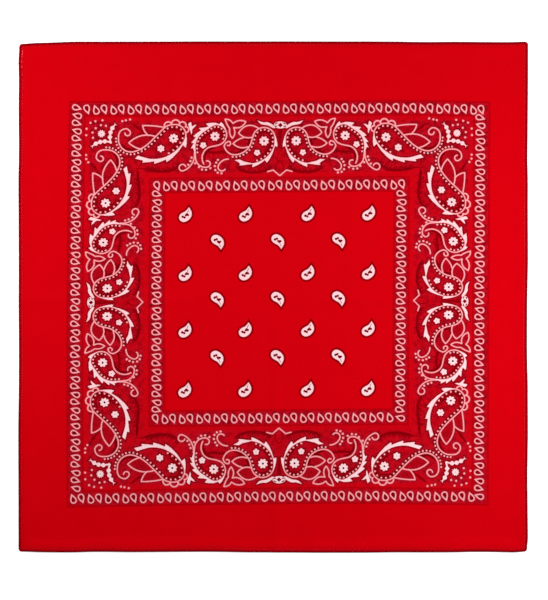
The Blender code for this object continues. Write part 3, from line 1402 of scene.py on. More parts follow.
@dataclass
class Print:
    """The whole print: frames, rows of drops, the border's motifs and the field's paisleys.

    Attributes:
        fine: whether keylines, fringes and shading are drawn, or only the white ink.
        middle: how far along a side its middle is drawn.
        half_width: the same, as laid on the shorter top and bottom sides.
        tilt: how much the field's rows rise towards the right.
        lean: how much the field's columns lean to the right.
    """

    fine: bool
    middle: float = 230.5
    half_width: float = 229.5
    tilt: float = 0.009
    lean: float = 0.004

    def __post_init__(self) -> None:
        """Start with nothing drawn."""
        self.drawing = Drawing(self.fine)

    def build(self) -> Shapes:
        """Draw everything, and return the shapes, the covering ones last.

        Returns:
            Each shape with its ink.
        """
        self.draw_frames()
        for patch, drop_rows in ((OUTER_FRAME, OUTER_ROWS), (INNER_FRAME, INNER_ROWS)):
            for row in drop_rows:
                row.draw(self.drawing, patch)
        for upright in (False, True):
            for far in (False, True):
                for mirrored in (False, True):
                    pen = Pen(self.drawing, self.border_place(upright, far, mirrored))
                    self.draw_half_side(pen)
                    self.draw_corner(pen, not upright)
                self.draw_middle(Pen(self.drawing, self.border_place(upright, far, False)))
        self.draw_field()
        return self.drawing.ordered()

    def border_place(self, upright: bool, far: bool, mirrored: bool) -> Place:
        """Return the place for one half of one side of the border.

        Args:
            upright: whether the side is the left or right one.
            far: whether it is the right or bottom one.
            mirrored: whether the half starts at the side's right or bottom end.

        Returns:
            What lays a point, given along and into the border, on the cloth.
        """
        width, height = OUTER_FRAME.width, OUTER_FRAME.height

        def lay_upright(along: float, deep: float) -> Point:
            """Lay a point on the left or right side, where the drawing is squeezed a little.

            Args:
                along: how far along the side it lies.
                deep: how far into the border it lies.

            Returns:
                The point on the cloth.
            """
            deep -= DRAWN_OUT * float(soft_step((along - DRAWN_FROM) / DRAWN_OVER))
            if along < self.middle - SQUEEZE_REACH:
                along *= STRETCH - STRETCH_LOSS * along
            else:
                along = height / 2.0 - SQUEEZE * (self.middle - along)
            return OUTER_FRAME.lay(width - deep if far else deep, height - along if mirrored else along)

        def lay_level(along: float, deep: float) -> Point:
            """Lay a point on the top or bottom side.

            Args:
                along: how far along the side it lies.
                deep: how far into the border it lies.

            Returns:
                The point on the cloth.
            """
            step, deeper = (BOTTOM_MOVES if far else TOP_MOVES)[mirrored]
            along = along * (self.half_width / self.middle) + step
            deep += deeper
            return OUTER_FRAME.lay(width - along if mirrored else along, height - deep if far else deep)

        return lay_upright if upright else lay_level

    def draw_frames(self) -> None:
        """Draw the border's ground, and dark lines on both sides of each row of drops."""
        self.drawing.add(OUTER_FRAME.ring(GROUND_PAST), Ink.MOTTLE, Layer.WASH)
        self.drawing.add(FIELD.ring(), Ink.GROUND, Layer.WASH)
        for patch, deep, past, width, ink, layer in (
            (OUTER_FRAME, 18.4, NO_PAST, 5.0, Ink.CLEAR, Layer.WASH),
            (INNER_FRAME, -3.7, NO_PAST, 5.0, Ink.CLEAR, Layer.WASH),
            (OUTER_FRAME, 0.6, GROUND_PAST, 2.0, Ink.FRAME, Layer.SHADE),
            (OUTER_FRAME, 15.0, NO_PAST, 2.0, Ink.FRAME, Layer.SHADE),
            (INNER_FRAME, 0.0, NO_PAST, 2.0, Ink.FRAME, Layer.SHADE),
            (FIELD, 0.0, NO_PAST, 2.0, Ink.FRAME, Layer.SHADE),
        ):
            for number in range(4):
                self.drawing.add(ribbon(patch.side(deep, number, past), width), ink, layer)

    def draw_half_side(self, pen: Pen) -> None:
        """Draw one half of a side: three large paisleys and what lies between them.

        Args:
            pen: what draws it.
        """
        for boteh in (LEAF_BOTEH, HOOK_BOTEH, CURL_BOTEH):
            boteh.draw(pen)
        for at, radius, petals, turn, eye in FLOWERS:
            pen.white(turned(blossom(radius, petals), turn, at))
            pen.dot(at, eye, Ink.DARK, corners=6)
        for tip, high, low, high_bow, low_bow in LEAVES:
            upper, lower = bowed(high, tip, high_bow), bowed(tip, low, low_bow)
            pen.open_shape((upper, lower), closed=False)
            pen.crescent(lower, 0.25, 0.98, 2.0, 2.0)
        for scallop in SCALLOPS:
            pen.stroke(scallop.line(), 1.3)
        pen.white(grown(joined(SOLID_TULIP), -0.25))
        corners = (*OPEN_TULIP, OPEN_TULIP[0])
        sides = [bowed(here, there, bow) for (here, bow), (there, _) in zip(corners, corners[1:])]
        pen.open_shape(sides, True)
        pen.stroke(swept(SECOND_TAIL))
        pen.stroke(swept(SMALL_SCROLL))
        pen.dots((*TAIL_DOTS, *HOOK_DOTS, *SCROLL_DOTS))
        pen.band([(66.5, 22.5), (73.0, 27.0), (80.5, 32.5)], 3.2, Ink.BAND, tips=(0.3, 0.3))
        pen.fringe(joined(LEAF_CONTOUR)[:-3], 4.6, 2.1)
        pen.fringe(bowed((150.0, 54.0), (173.0, 52.0), 0.08), 3.0, 2.2)
        pen.fringe(joined(CURL_CONTOUR)[:-3], 4.0, 2.2)

    def draw_middle(self, pen: Pen) -> None:
        """Draw the ornament at the middle of a side.

        Args:
            pen: what draws it.
        """
        for sign in (1.0, -1.0):

            def lay(x: float, y: float, sign: float = sign) -> Point:
                """Lay a point, given from the middle and towards one half, on the cloth."""
                return pen.place(self.middle + x * sign, y)

            half = Pen(self.drawing, lay)
            half.white([(x - self.middle, y) for x, y in joined(WING)])
            for mark, width in WING_MARKS:
                half.band(mark, width, Ink.DEEP, Layer.CUT)
            half.stroke([*bowed((0.0, 81.4), (7.2, 75.2)), (9.6, 75.7), (13.6, 76.7)], 1.05)
            half.band(bowed((0.0, 81.0), (0.0, 64.0), 0.24), 1.0, Ink.BAND)
            half.band(bowed((4.0, 72.0), (12.0, 60.0)), 1.2, Ink.SHADE, Layer.WASH)
        middle = Pen(self.drawing, lambda x, y: pen.place(self.middle + x, y))
        middle.white([(7.4 * x, 24.7 + 4.2 * y) for x, y in disc(1.0, 20)])
        middle.area([(0.0, 22.3), (2.8, 24.9), (0.0, 27.5), (-2.8, 24.9)], Ink.DEEP, Layer.CUT)
        middle.band([(0.0, 31.0), (0.0, 50.0)], 7.5, Ink.BAND, tips=(0.7, 0.2))
        for aside, length in FAN:
            middle.band([(aside, 54.0), (aside, 54.0 + length)], 0.9, Ink.BAND, tips=(0.4, 0.4))

    def draw_corner(self, pen: Pen, with_flower: bool) -> None:
        """Draw one half of a corner: its sprig, and the flower and dots that both halves share.

        Args:
            pen: what draws it.
            with_flower: whether this half draws what both halves share.
        """
        if with_flower:
            pen.white(turned(blossom(4.4, 10), 0.0, CORNER_FLOWER))
            pen.dot(CORNER_FLOWER, 0.5, Ink.DARK, corners=6)
            pen.band([(74.0, 74.5), (74.2, 80.0), (74.6, 86.5)], 3.0, Ink.DEEP, tips=(0.4, 0.6))
            pen.band([(72.0, 72.6), (82.0, 72.8), (95.0, 72.4)], 1.6, Ink.BAND, tips=(0.4, 0.4))
            pen.dots([spot for row in CORNER_DOTS for spot in row], 1.05)
        pen.sprig(Turn(along=63.2, deep=37.5, radius=20.1, start=158, end=228).line(1.6))

    def draw_field(self) -> None:
        """Draw the small paisleys of the middle field, in rows that lean both ways."""
        for columns, ups, flip in FIELD_SETS:
            for across in columns:
                for up in ups:
                    at = (across + self.lean * up, up + self.tilt * (across + 97.0))

                    def lay(x: float, y: float, at: Point = at, flip: float = flip) -> Point:
                        """Lay a point of one paisley on the cloth."""
                        return at[0] + x, at[1] + y * flip

                    self.draw_paisley(Pen(self.drawing, lay))

    def draw_paisley(self, pen: Pen) -> None:
        """Draw one small paisley with the dark sprig inside it.

        Args:
            pen: what draws it.
        """
        pen.white(joined(FIELD_PAISLEY), 2.0)
        for spot, radius in FIELD_SPOTS:
            pen.dot(spot, radius, Ink.DEEP, corners=7)
        pen.band(bowed((2.4, 1.8), (3.6, 5.0), 0.1), 0.6, Ink.DEEP, Layer.DETAIL)


# ---------------------------------------------------------------------------
# The cloth's mesh
# ---------------------------------------------------------------------------

# How far in from the edge the rows of points beside it lie, on the face and on the underside.
FACE_ROWS = (2.0, 3.1, 3.5, 3.9, 4.3, 4.8, 6.0, 7.6, 9.6, 12.0, 14.8, 17.6)
BACK_ROWS = (3.1, 3.9, 4.8, 7.6, 17.6)

# How far apart points are: round the edge, on the face, underneath, on creases, in the border.
RING_PITCH = 4.6
FACE_PITCH = 6.5
BACK_PITCH = 14.0
CREASE_PITCH = 7.0
BORDER_PITCH = 4.3
CORNER_STEPS = 4

# The gap between staggered rows as a share of their pitch, how far the rows beside the edge end
# short of its corners, how far in from them the grid starts, and where the rows along a crease
# lie, as shares of its spread.
ROW_GAP = 0.87
CORNER_GAP = 3.0
GRID_GAP = 2.0
CREASE_ROWS = (-0.75, -0.4, 0.0, 0.4, 0.75)

# How near points have to be to become one, and how many triangles are looked at in one go.
WELD = 0.01
LOT = 20000

# How far the printed border reaches out from the middle, and how far the field inside it does.
PRINT_REACH = (224.0, 216.0)
FIELD_REACH = (118.0, 114.0)

# How far a point may lie off its neighbours' line and be left out, how far a straight edge may
# leave the cloth's form, and the length from which an edge is looked at in many places.
STRAIGHT_SLACK = 0.02
SLACK_HEIGHT = 0.04
LONG_EDGE = 12.0

# The angle from which an edge is shaded sharp, and how far the painted edge shade and bled ink reach.
SHARP_EDGE = radians(50.0)
EDGE_SHADE_REACH = 2.8
BLEED = 2.6

# The flat layout: the corner and the share of it that the face takes, the underside, and the
# folded edge's four strips, which lie one above the other.
FACE_CORNER, FACE_SHARE = (0.01, 0.01), 0.70
BACK_CORNER, BACK_SHARE = (0.725, 0.01), 0.26
STRIP_CORNER, STRIP_SHARE = (0.01, 0.74), (0.95, 0.05)
STRIP_STEP = 0.06

Edges = list[tuple[int, int]]


def inside(outline: np.ndarray, points: np.ndarray) -> np.ndarray:
    """Say which points an outline winds round.

    Args:
        outline: its corners.
        points: the points to test.

    Returns:
        One truth value for each point.
    """
    ahead = np.roll(outline, -1, axis=0)
    x, y = points[:, :1], points[:, 1:]
    rise = (outline[:, 1] <= y) & (ahead[:, 1] > y)
    fall = (ahead[:, 1] <= y) & (outline[:, 1] > y)
    way = ahead - outline
    cross = way[:, 0] * (y - outline[:, 1]) - way[:, 1] * (x - outline[:, 0])
    return (rise & (cross > 0.0)).sum(axis=1) != (fall & (cross < 0.0)).sum(axis=1)


def cuts_through(ends: np.ndarray, form: ClothForm, samples: int) -> np.ndarray:
    """Say which straight edges leave the cloth's form by more than the slack.

    Args:
        ends: the two ends of each edge.
        form: the cloth's form.
        samples: how many places on each edge are looked at.

    Returns:
        One truth value for each edge.
    """
    shares = (np.arange(samples) + 0.5) / samples
    first, second = ends[:, :1], ends[:, 1:]
    between = first + (second - first) * shares[None, :, None]
    levels = form.top(ends[:, :, 0], ends[:, :, 1])
    straight = levels[:, :1] + (levels[:, 1:] - levels[:, :1]) * shares
    return (np.abs(form.top(between[:, :, 0], between[:, :, 1]) - straight) > SLACK_HEIGHT).any(axis=1)


def follow(spots: Line, edges: Edges, form: ClothForm) -> tuple[Line, Edges]:
    """Halve the edges that would cut straight through a crease, until none does.

    Args:
        spots: the points.
        edges: pairs of them.
        form: the cloth's form.

    Returns:
        The points and edges with the new ones.
    """
    open_edges, done = list(edges), []
    while open_edges:
        ends = np.array(spots)[np.array(open_edges)]
        lengths = np.linalg.norm(ends[:, 1] - ends[:, 0], axis=1)
        off = np.zeros(len(ends), bool)
        for group, samples in ((lengths <= LONG_EDGE, 3), (lengths > LONG_EDGE, 90)):
            off[group] = cuts_through(ends[group], form, samples)
        halved: Edges = []
        for (a, b), middle, apart in zip(open_edges, ends.mean(axis=1).tolist(), off):
            if apart:
                halved += [(a, len(spots)), (len(spots), b)]
                spots.append(tuple(middle))
            else:
                done.append((a, b))
        open_edges = halved
    return spots, done


@dataclass
class Tiling:
    """One side of the cloth, cut into triangles along every printed outline.

    Attributes:
        spots: the corners, with the rim's first, in their order round the cloth.
        triangles: three corners each, counter-clockwise.
        inks: what is printed on each triangle.
    """

    spots: np.ndarray
    triangles: np.ndarray
    inks: np.ndarray

    @classmethod
    def cut(cls, shapes: Shapes, rim: np.ndarray, free: np.ndarray, form: ClothForm) -> "Tiling":
        """Cut the side along its shapes, but only where two inks meet.

        Args:
            shapes: the printed shapes, the covering ones last.
            rim: the side's outline.
            free: more points, which carry the cloth's form.
            form: the cloth's form.

        Returns:
            The tiling.
        """
        count = len(rim)
        rim_edges = [(k, (k + 1) % count) for k in range(count)]
        spots, edges = [tuple(spot) for spot in rim], list(rim_edges)
        for _, outline in shapes:
            first, size = len(spots), len(outline)
            spots += outline
            edges += [(first + k, first + (k + 1) % size) for k in range(size)]
        rough = cls.meshed(spots, edges, count)
        rough.print_on(shapes)
        spots, edges = follow(*rough.ink_edges(count), form)
        tiling = cls.meshed([*spots, *(tuple(spot) for spot in free)], [*rim_edges, *edges], count)
        tiling.print_on(shapes)
        return tiling

    @classmethod
    def meshed(cls, spots: Line, edges: Edges, count: int) -> "Tiling":
        """Return the plain triangles between points and edges, with the rim's `count` points first.

        Args:
            spots: the points.
            edges: pairs of them.
            count: how many of the points are on the rim.

        Returns:
            The tiling, with nothing printed.
        """
        found = delaunay_2d_cdt([Vector(spot) for spot in spots], edges, [], 0, WELD)
        corners = np.array([tuple(spot) for spot in found[0]])
        order = np.full(len(corners), -1)
        for number, sources in enumerate(found[3]):
            on_rim = [source for source in sources if source < count]
            if on_rim:
                order[number] = on_rim[0]
        others = order < 0
        order[others] = np.arange(others.sum()) + count
        sorted_corners = np.empty_like(corners)
        sorted_corners[order] = corners
        triangles = order[np.array(found[2])]
        tiling = cls(sorted_corners, triangles, np.zeros((len(triangles), 3)))
        tiling.turn_up()
        return tiling

    def ink_edges(self, count: int) -> tuple[Line, Edges]:
        """Return the rim's points, the points where two inks meet, and the edges between those.

        Points that lie on the straight line between their neighbours are left out.

        Args:
            count: how many of the points are on the rim.

        Returns:
            The points and the edges.
        """
        pairs = np.sort(self.triangles[:, (0, 1, 1, 2, 2, 0)].reshape(-1, 2), axis=1)
        keys = pairs[:, 0] * len(self.spots) + pairs[:, 1]
        order = np.argsort(keys, kind="stable")
        first, second = order[:-1], order[1:]
        shared = keys[first] == keys[second]
        first, second = first[shared], second[shared]
        differs = (self.inks[first // 3] != self.inks[second // 3]).any(axis=1)
        around: dict[int, set[int]] = {}
        for a, b in pairs[first[differs]].tolist():
            around.setdefault(a, set()).add(b)
            around.setdefault(b, set()).add(a)
        moved: set[int] = set()
        for here in sorted(around):
            if here < count or len(around[here]) != 2 or here in moved:
                continue
            a, b = around[here]
            way, arm = self.spots[b] - self.spots[a], self.spots[here] - self.spots[a]
            off = way[0] * arm[1] - way[1] * arm[0]
            if b not in around[a] and abs(off) < STRAIGHT_SLACK * hypot(*way):
                around[a] = (around[a] - {here}) | {b}
                around[b] = (around[b] - {here}) | {a}
                around[here] = set()
                moved |= {a, b}
        kept = [here for here in sorted(around) if around[here] and here >= count]
        number = {here: place + count for place, here in enumerate(kept)}
        number.update({here: here for here in range(count)})
        edges = [(number[a], number[b]) for a in around for b in around[a] if a < b]
        spots = [*self.spots[:count].tolist(), *self.spots[kept].tolist()]
        return [tuple(spot) for spot in spots], edges

    def turn_up(self) -> None:
        """Turn every triangle counter-clockwise."""
        a, b, c = (self.spots[self.triangles[:, k]] for k in range(3))
        area = (b[:, 0] - a[:, 0]) * (c[:, 1] - a[:, 1]) - (b[:, 1] - a[:, 1]) * (c[:, 0] - a[:, 0])
        self.triangles[area < 0.0] = self.triangles[area < 0.0][:, ::-1]

    def print_on(self, shapes: Shapes) -> None:
        """Give each triangle the ink of the last shape that covers its middle.

        Args:
            shapes: the printed shapes, the covering ones last.
        """
        middles = self.spots[self.triangles].mean(axis=1)
        order = np.argsort(middles[:, 0])
        across = middles[order, 0]
        for ink, outline in shapes:
            corners = np.array(outline)
            low, high = corners.min(axis=0), corners.max(axis=0)
            first, last = np.searchsorted(across, (low[0], high[0]))
            near = order[first:last]
            near = near[(middles[near, 1] > low[1]) & (middles[near, 1] < high[1])]
            for part in np.array_split(near, 1 + len(near) // LOT):
                self.inks[part[inside(corners, middles[part])]] = ink.value


def make_piece(name: str, spots: np.ndarray, faces: list[list[int]]) -> bpy.types.Object:
    """Make a piece from points in millimetres, smooth up to sharp edges, which rides on the cloth.

    Args:
        name: the piece's name.
        spots: its points.
        faces: the points of each face.

    Returns:
        The piece.
    """
    mesh = bpy.data.meshes.new(name)
    mesh.from_pydata((spots * MM).tolist(), [], faces)
    mesh.update()
    mesh.shade_smooth()
    mesh.set_sharp_from_angle(angle=SHARP_EDGE)
    piece = bpy.data.objects.new(name, mesh)
    bpy.context.scene.collection.objects.link(piece)
    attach(piece, BODY)
    return piece


def staggered(reach_x: float, reach_y: float, pitch: float) -> np.ndarray:
    """Return points in staggered rows, out to a reach each way.

    Args:
        reach_x: how far they reach to each side.
        reach_y: how far they reach up and down.
        pitch: how far apart they are.

    Returns:
        The points.
    """
    across = np.arange(-reach_x, reach_x, pitch)
    up = np.arange(-reach_y, reach_y, pitch * ROW_GAP)
    grid_x, grid_y = np.meshgrid(across, up)
    grid_x = grid_x + (np.arange(len(up)) % 2)[:, None] * pitch / 2.0
    grid = np.stack([grid_x.ravel(), grid_y.ravel()], axis=1)
    return grid[np.abs(grid[:, 0]) < reach_x]


def round_corners(x: np.ndarray, y: np.ndarray) -> tuple[np.ndarray, np.ndarray]:
    """Bend points of the square's corners round, so that lines beside the edge follow it.

    Args:
        x: across the cloth, from its middle.
        y: up the cloth, from its middle.

    Returns:
        The same, with the corners round.
    """
    half_x, half_y = HALF_X - CORNER_RADIUS, HALF_Y - CORNER_RADIUS
    over_x, over_y = np.abs(x) - half_x, np.abs(y) - half_y
    corner = (over_x > 0.0) & (over_y > 0.0)
    reach = np.maximum(over_x, over_y)
    lower = np.minimum(over_x, over_y) / np.where(corner, reach, 1.0)
    angle = np.where(over_x >= over_y, pi / 4.0 * lower, pi / 2.0 - pi / 4.0 * lower)
    round_x = np.sign(x) * (half_x + reach * np.cos(angle))
    round_y = np.sign(y) * (half_y + reach * np.sin(angle))
    return np.where(corner, round_x, x), np.where(corner, round_y, y)


@dataclass
class PrintedSquare:
    """The printed cotton square: one closed shell with its edges folded under.

    Attributes:
        form: where the cloth lies.
        finish: what it is made of.
        turn_end: how far in from the edge the fold's lower end reaches.
        outer_steps: how many steps the fold's outside has.
        inner_steps: how many steps the fold's inside has.
    """

    form: ClothForm
    finish: "PrintedCotton"
    turn_end: float = 1.3
    outer_steps: int = 8
    inner_steps: int = 4

    def rim(self) -> tuple[np.ndarray, np.ndarray, np.ndarray]:
        """Return the line where the level face meets the folds.

        Returns:
            Its points, its outward headings, and each point's side and share of that side.
        """
        half_x, half_y = HALF_X - CORNER_RADIUS, HALF_Y - CORNER_RADIUS
        radius = CORNER_RADIUS - FOLD_RADIUS
        spots: Line = []
        outs: Line = []
        runs_round: list[Point] = []
        middles = ((half_x, half_y), (-half_x, half_y), (-half_x, -half_y), (half_x, -half_y))
        for number, (x, y) in enumerate(middles):
            next_x, next_y = middles[(number + 1) % 4]
            turns = [radians(90.0 * number + 90.0 * step / CORNER_STEPS) for step in range(CORNER_STEPS)]
            straight = round(hypot(next_x - x, next_y - y) / RING_PITCH)
            places = [(x, y, turn) for turn in turns]
            for step in range(straight):
                share = step / straight
                place = (x + (next_x - x) * share, y + (next_y - y) * share)
                places.append((*place, radians(90.0 * (number + 1))))
            for order, (at_x, at_y, turn) in enumerate(places):
                outs.append((cos(turn), sin(turn)))
                spots.append((at_x + radius * cos(turn), at_y + radius * sin(turn)))
                runs_round.append((number, order / len(places)))
        return np.array(spots), np.array(outs), np.array(runs_round)

    def free_points(self, rows: Sequence[float], pitch: float, dense: bool) -> np.ndarray:
        """Return points in rows beside the edges, along the creases, and in a loose grid.

        Args:
            rows: how far in from the edges the rows lie.
            pitch: how far apart the grid's points are.
            dense: whether they are closer in the printed border.

        Returns:
            The points.
        """
        points: list[np.ndarray] = []
        for inset in rows:
            reach_x, reach_y = HALF_X - inset, HALF_Y - inset
            clear_x, clear_y = min(reach_x, HALF_X - CORNER_GAP), min(reach_y, HALF_Y - CORNER_GAP)
            along_x = np.linspace(-clear_x, clear_x, round(2 * clear_x / RING_PITCH))
            along_y = np.linspace(-clear_y, clear_y, round(2 * clear_y / RING_PITCH))[1:-1]
            for sign in (-1.0, 1.0):
                points.append(np.stack([along_x, np.full_like(along_x, sign * reach_y)], axis=1))
                points.append(np.stack([np.full_like(along_y, sign * reach_x), along_y], axis=1))
        inner_x, inner_y = HALF_X - rows[-1] - GRID_GAP, HALF_Y - rows[-1] - GRID_GAP
        step = min(pitch, CREASE_PITCH)
        for crease in CREASES:
            along = np.arange(max(crease.start, -inner_x), min(crease.end, inner_x), step)
            for part in CREASE_ROWS:
                place = crease.at + crease.spread * part
                line = np.stack([np.full_like(along, place), along], axis=1)
                points.append(line if crease.runs == "y" else line[:, ::-1])
        grid = staggered(inner_x, inner_y, pitch)
        if dense:
            outside = (np.abs(grid) > PRINT_REACH).any(axis=1)
            points.append(grid[outside | (np.abs(grid) < FIELD_REACH).all(axis=1)])
            grid = staggered(*PRINT_REACH, BORDER_PITCH)
            grid = grid[(np.abs(grid) > FIELD_REACH).any(axis=1)]
        points.append(grid)
        return np.vstack(points)

    def fold(self, top: np.ndarray) -> list[tuple[float, np.ndarray]]:
        """Return the inset and height of each line round the folded edge, face to underside.

        Args:
            top: the height of the face at each point of the rim.

        Returns:
            The insets and heights.
        """
        middle, half = (top + REST) / 2.0, (top - REST) / 2.0
        rings: list[tuple[float, np.ndarray]] = []
        for step in range(1, self.outer_steps + 1):
            turn = pi * step / self.outer_steps
            rings.append((FOLD_RADIUS * (1.0 - sin(turn)), middle + half * cos(turn)))
        rings.append((self.turn_end, np.full_like(top, REST)))
        rings.append((self.turn_end, np.full_like(top, REST + THICKNESS)))
        inner = FOLD_RADIUS - THICKNESS
        for step in range(self.inner_steps, 0, -1):
            turn = pi * step / self.inner_steps
            height = middle + (half - THICKNESS) * cos(turn)
            rings.append((FOLD_RADIUS - inner * sin(turn), height))
        return rings

    def build(self) -> bpy.types.Object:
        """Build the shell with its print, and dress it.

        Returns:
            The finished piece.
        """
        rim, outs, rounds = self.rim()
        count = len(rim)
        free = self.free_points(FACE_ROWS, FACE_PITCH, True)
        face = Tiling.cut(Print(fine=True).build(), rim, free, self.form)
        free = self.free_points(BACK_ROWS, BACK_PITCH, False)
        back = Tiling.cut(Print(fine=False).build(), rim, free, self.form)
        log.info("face: %d triangles, underside: %d", len(face.triangles), len(back.triangles))

        top = self.form.top(face.spots[:, 0], face.spots[:, 1])
        under = self.form.top(back.spots[:, 0], back.spots[:, 1]) - THICKNESS
        rings = self.fold(top[:count])
        folds = [rim + outs * (FOLD_RADIUS - inset) for inset, _ in rings]
        places = np.vstack([face.spots, *folds, back.spots])
        heights = np.concatenate([top, *(height for _, height in rings), under])
        x, y = self.form.lay(places[:, 0], places[:, 1])

        starts = [0, *(len(face.spots) + count * k for k in range(len(rings) + 1))]
        here = np.arange(count)
        ahead = (here + 1) % count
        band = np.vstack(
            [
                np.stack([upper + here, lower + here, lower + ahead, upper + ahead], axis=1)
                for upper, lower in zip(starts, starts[1:])
            ]
        )
        underside = (back.triangles + starts[-1])[:, ::-1]
        faces = [*face.triangles.tolist(), *band.tolist(), *underside.tolist()]
        piece = make_piece("printed_square", np.stack([x, y, heights], axis=1), faces)
        self.mark(piece.data, places, face, back)
        self.lay_out(piece.data, places, face, back, rounds)
        piece.data.materials.append(self.finish.build())
        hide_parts("panel")
        return piece

    def nearness(self, face: Tiling, total: int) -> np.ndarray:
        """Return how near each of the shell's points is to white ink, from 0 to 1.

        Args:
            face: the face's tiling.
            total: how many points the shell has.

        Returns:
            One share for each point, and 0 off the face.
        """
        inked = np.unique(face.triangles[face.inks[:, 0] > 0.0])
        tree = KDTree(len(inked))
        for number, (x, y) in enumerate(face.spots[inked].tolist()):
            tree.insert((x, y, 0.0), number)
        tree.balance()
        away = np.array([tree.find((x, y, 0.0))[2] for x, y in face.spots.tolist()])
        near = np.zeros(total)
        near[: len(away)] = np.exp(-((away / BLEED) ** 2))
        return near

    def mark(self, mesh: bpy.types.Mesh, places: np.ndarray, face: Tiling, back: Tiling) -> None:
        """Store the print, the painted shade along the edge and the nearness of white ink on the mesh.

        Args:
            mesh: the shell's mesh.
            places: where its points lie on the true rectangle.
            face: the face's tiling.
            back: the underside's tiling.
        """
        face_ink = np.hstack([face.inks, np.ones((len(face.inks), 1))])
        back_ink = np.hstack([back.inks, np.zeros((len(back.inks), 1))])
        between = len(mesh.loops) - 3 * (len(face_ink) + len(back_ink))
        band_ink = np.tile((0.0, 0.0, 0.0, 1.0), (between, 1))
        corners = np.vstack([np.repeat(face_ink, 3, axis=0), band_ink, np.repeat(back_ink, 3, axis=0)])
        ink = mesh.attributes.new("ink", "FLOAT_COLOR", "CORNER")
        ink.data.foreach_set("color", corners.astype(np.float32).ravel())

        inset = np.minimum(HALF_X - np.abs(places[:, 0]), HALF_Y - np.abs(places[:, 1]))
        # Painted shade: the cloth is darkened towards its folded edge, most at the edge itself.
        edge_shade = np.exp(-((np.maximum(inset, 0.0) / EDGE_SHADE_REACH) ** 2))
        for name, values in (("edge", edge_shade), ("near", self.nearness(face, len(places)))):
            mesh.attributes.new(name, "FLOAT", "POINT").data.foreach_set("value", values.astype(np.float32))

    def lay_out(
        self,
        mesh: bpy.types.Mesh,
        places: np.ndarray,
        face: Tiling,
        back: Tiling,
        rounds: np.ndarray,
    ) -> None:
        """Lay the shell out flat: the face, the folded edge in strips beside it, the underside.

        Args:
            mesh: the shell's mesh.
            places: where its points lie on the true rectangle.
            face: the face's tiling.
            back: the underside's tiling.
            rounds: the side, and the share of it, of each point of the rim.
        """
        plane = places / (CLOTH_WIDTH, CLOTH_LENGTH) + 0.5
        face_map = FACE_CORNER + plane[face.triangles.ravel()] * FACE_SHARE
        start = len(plane) - len(back.spots)
        back_map = BACK_CORNER + plane[(back.triangles + start)[:, ::-1].ravel()] * BACK_SHARE
        count = len(rounds)
        rows = (len(mesh.loops) - len(face_map) - len(back_map)) // (4 * count)
        row = np.repeat(np.arange(rows), count)
        side, share = rounds[:, 0], rounds[:, 1]
        ends = np.where(np.roll(side, -1) == side, np.roll(share, -1), 1.0)
        left = np.stack([np.tile(share, rows), row / rows], axis=1)
        right = np.stack([np.tile(ends, rows), row / rows], axis=1)
        step = (0.0, 1.0 / rows)
        band_map = np.stack([left, left + step, right + step, right], axis=1)
        band_map = band_map * STRIP_SHARE + STRIP_CORNER
        band_map[:, :, 1] += np.tile(side, rows)[:, None] * STRIP_STEP
        layout = mesh.uv_layers.new(name="OFBake")
        whole = np.vstack([face_map, band_map.reshape(-1, 2), back_map]).astype(np.float32)
        layout.data.foreach_set("uv", whole.ravel())


# ---------------------------------------------------------------------------
# The hems and their stitching
# ---------------------------------------------------------------------------


@dataclass(frozen=True)
class SideFrame:
    """One side of the square, with places given along it and in from its edge.

    Attributes:
        name: its name.
        upright: whether it is the left or right one.
        far: whether it is the right or top one.
    """

    name: str
    upright: bool
    far: bool

    @property
    def reach(self) -> float:
        """Return how far the side reaches from its middle to a corner."""
        return HALF_Y if self.upright else HALF_X

    def lay(self, along: np.ndarray, inset: np.ndarray) -> tuple[np.ndarray, np.ndarray]:
        """Return the true rectangle's x and y of places along the side and in from its edge.

        Args:
            along: how far along the side they lie, from its middle.
            inset: how far in they lie.

        Returns:
            The x and y of each place.
        """
        half = HALF_X if self.upright else HALF_Y
        across = (half - inset) if self.far else (inset - half)
        return (across, along) if self.upright else (along, across)


SIDES = records(
    SideFrame,
    "name upright far",
    ("top", False, True),
    ("bottom", False, False),
    ("left", True, False),
    ("right", True, True),
)


# How far in a hem's lines lie, how far round its fold the lines there lie, how far from the
# stitches they draw it up, and how far from its ends it has more points.
HEM_LINES = (2.6, 3.4, STITCH_INSET, 4.4, 5.1)
FOLD_TURNS = (0.25, 0.5, 0.75)
DRAWN_WIDTH = 0.7
END_GAPS = (0.6, 1.9)


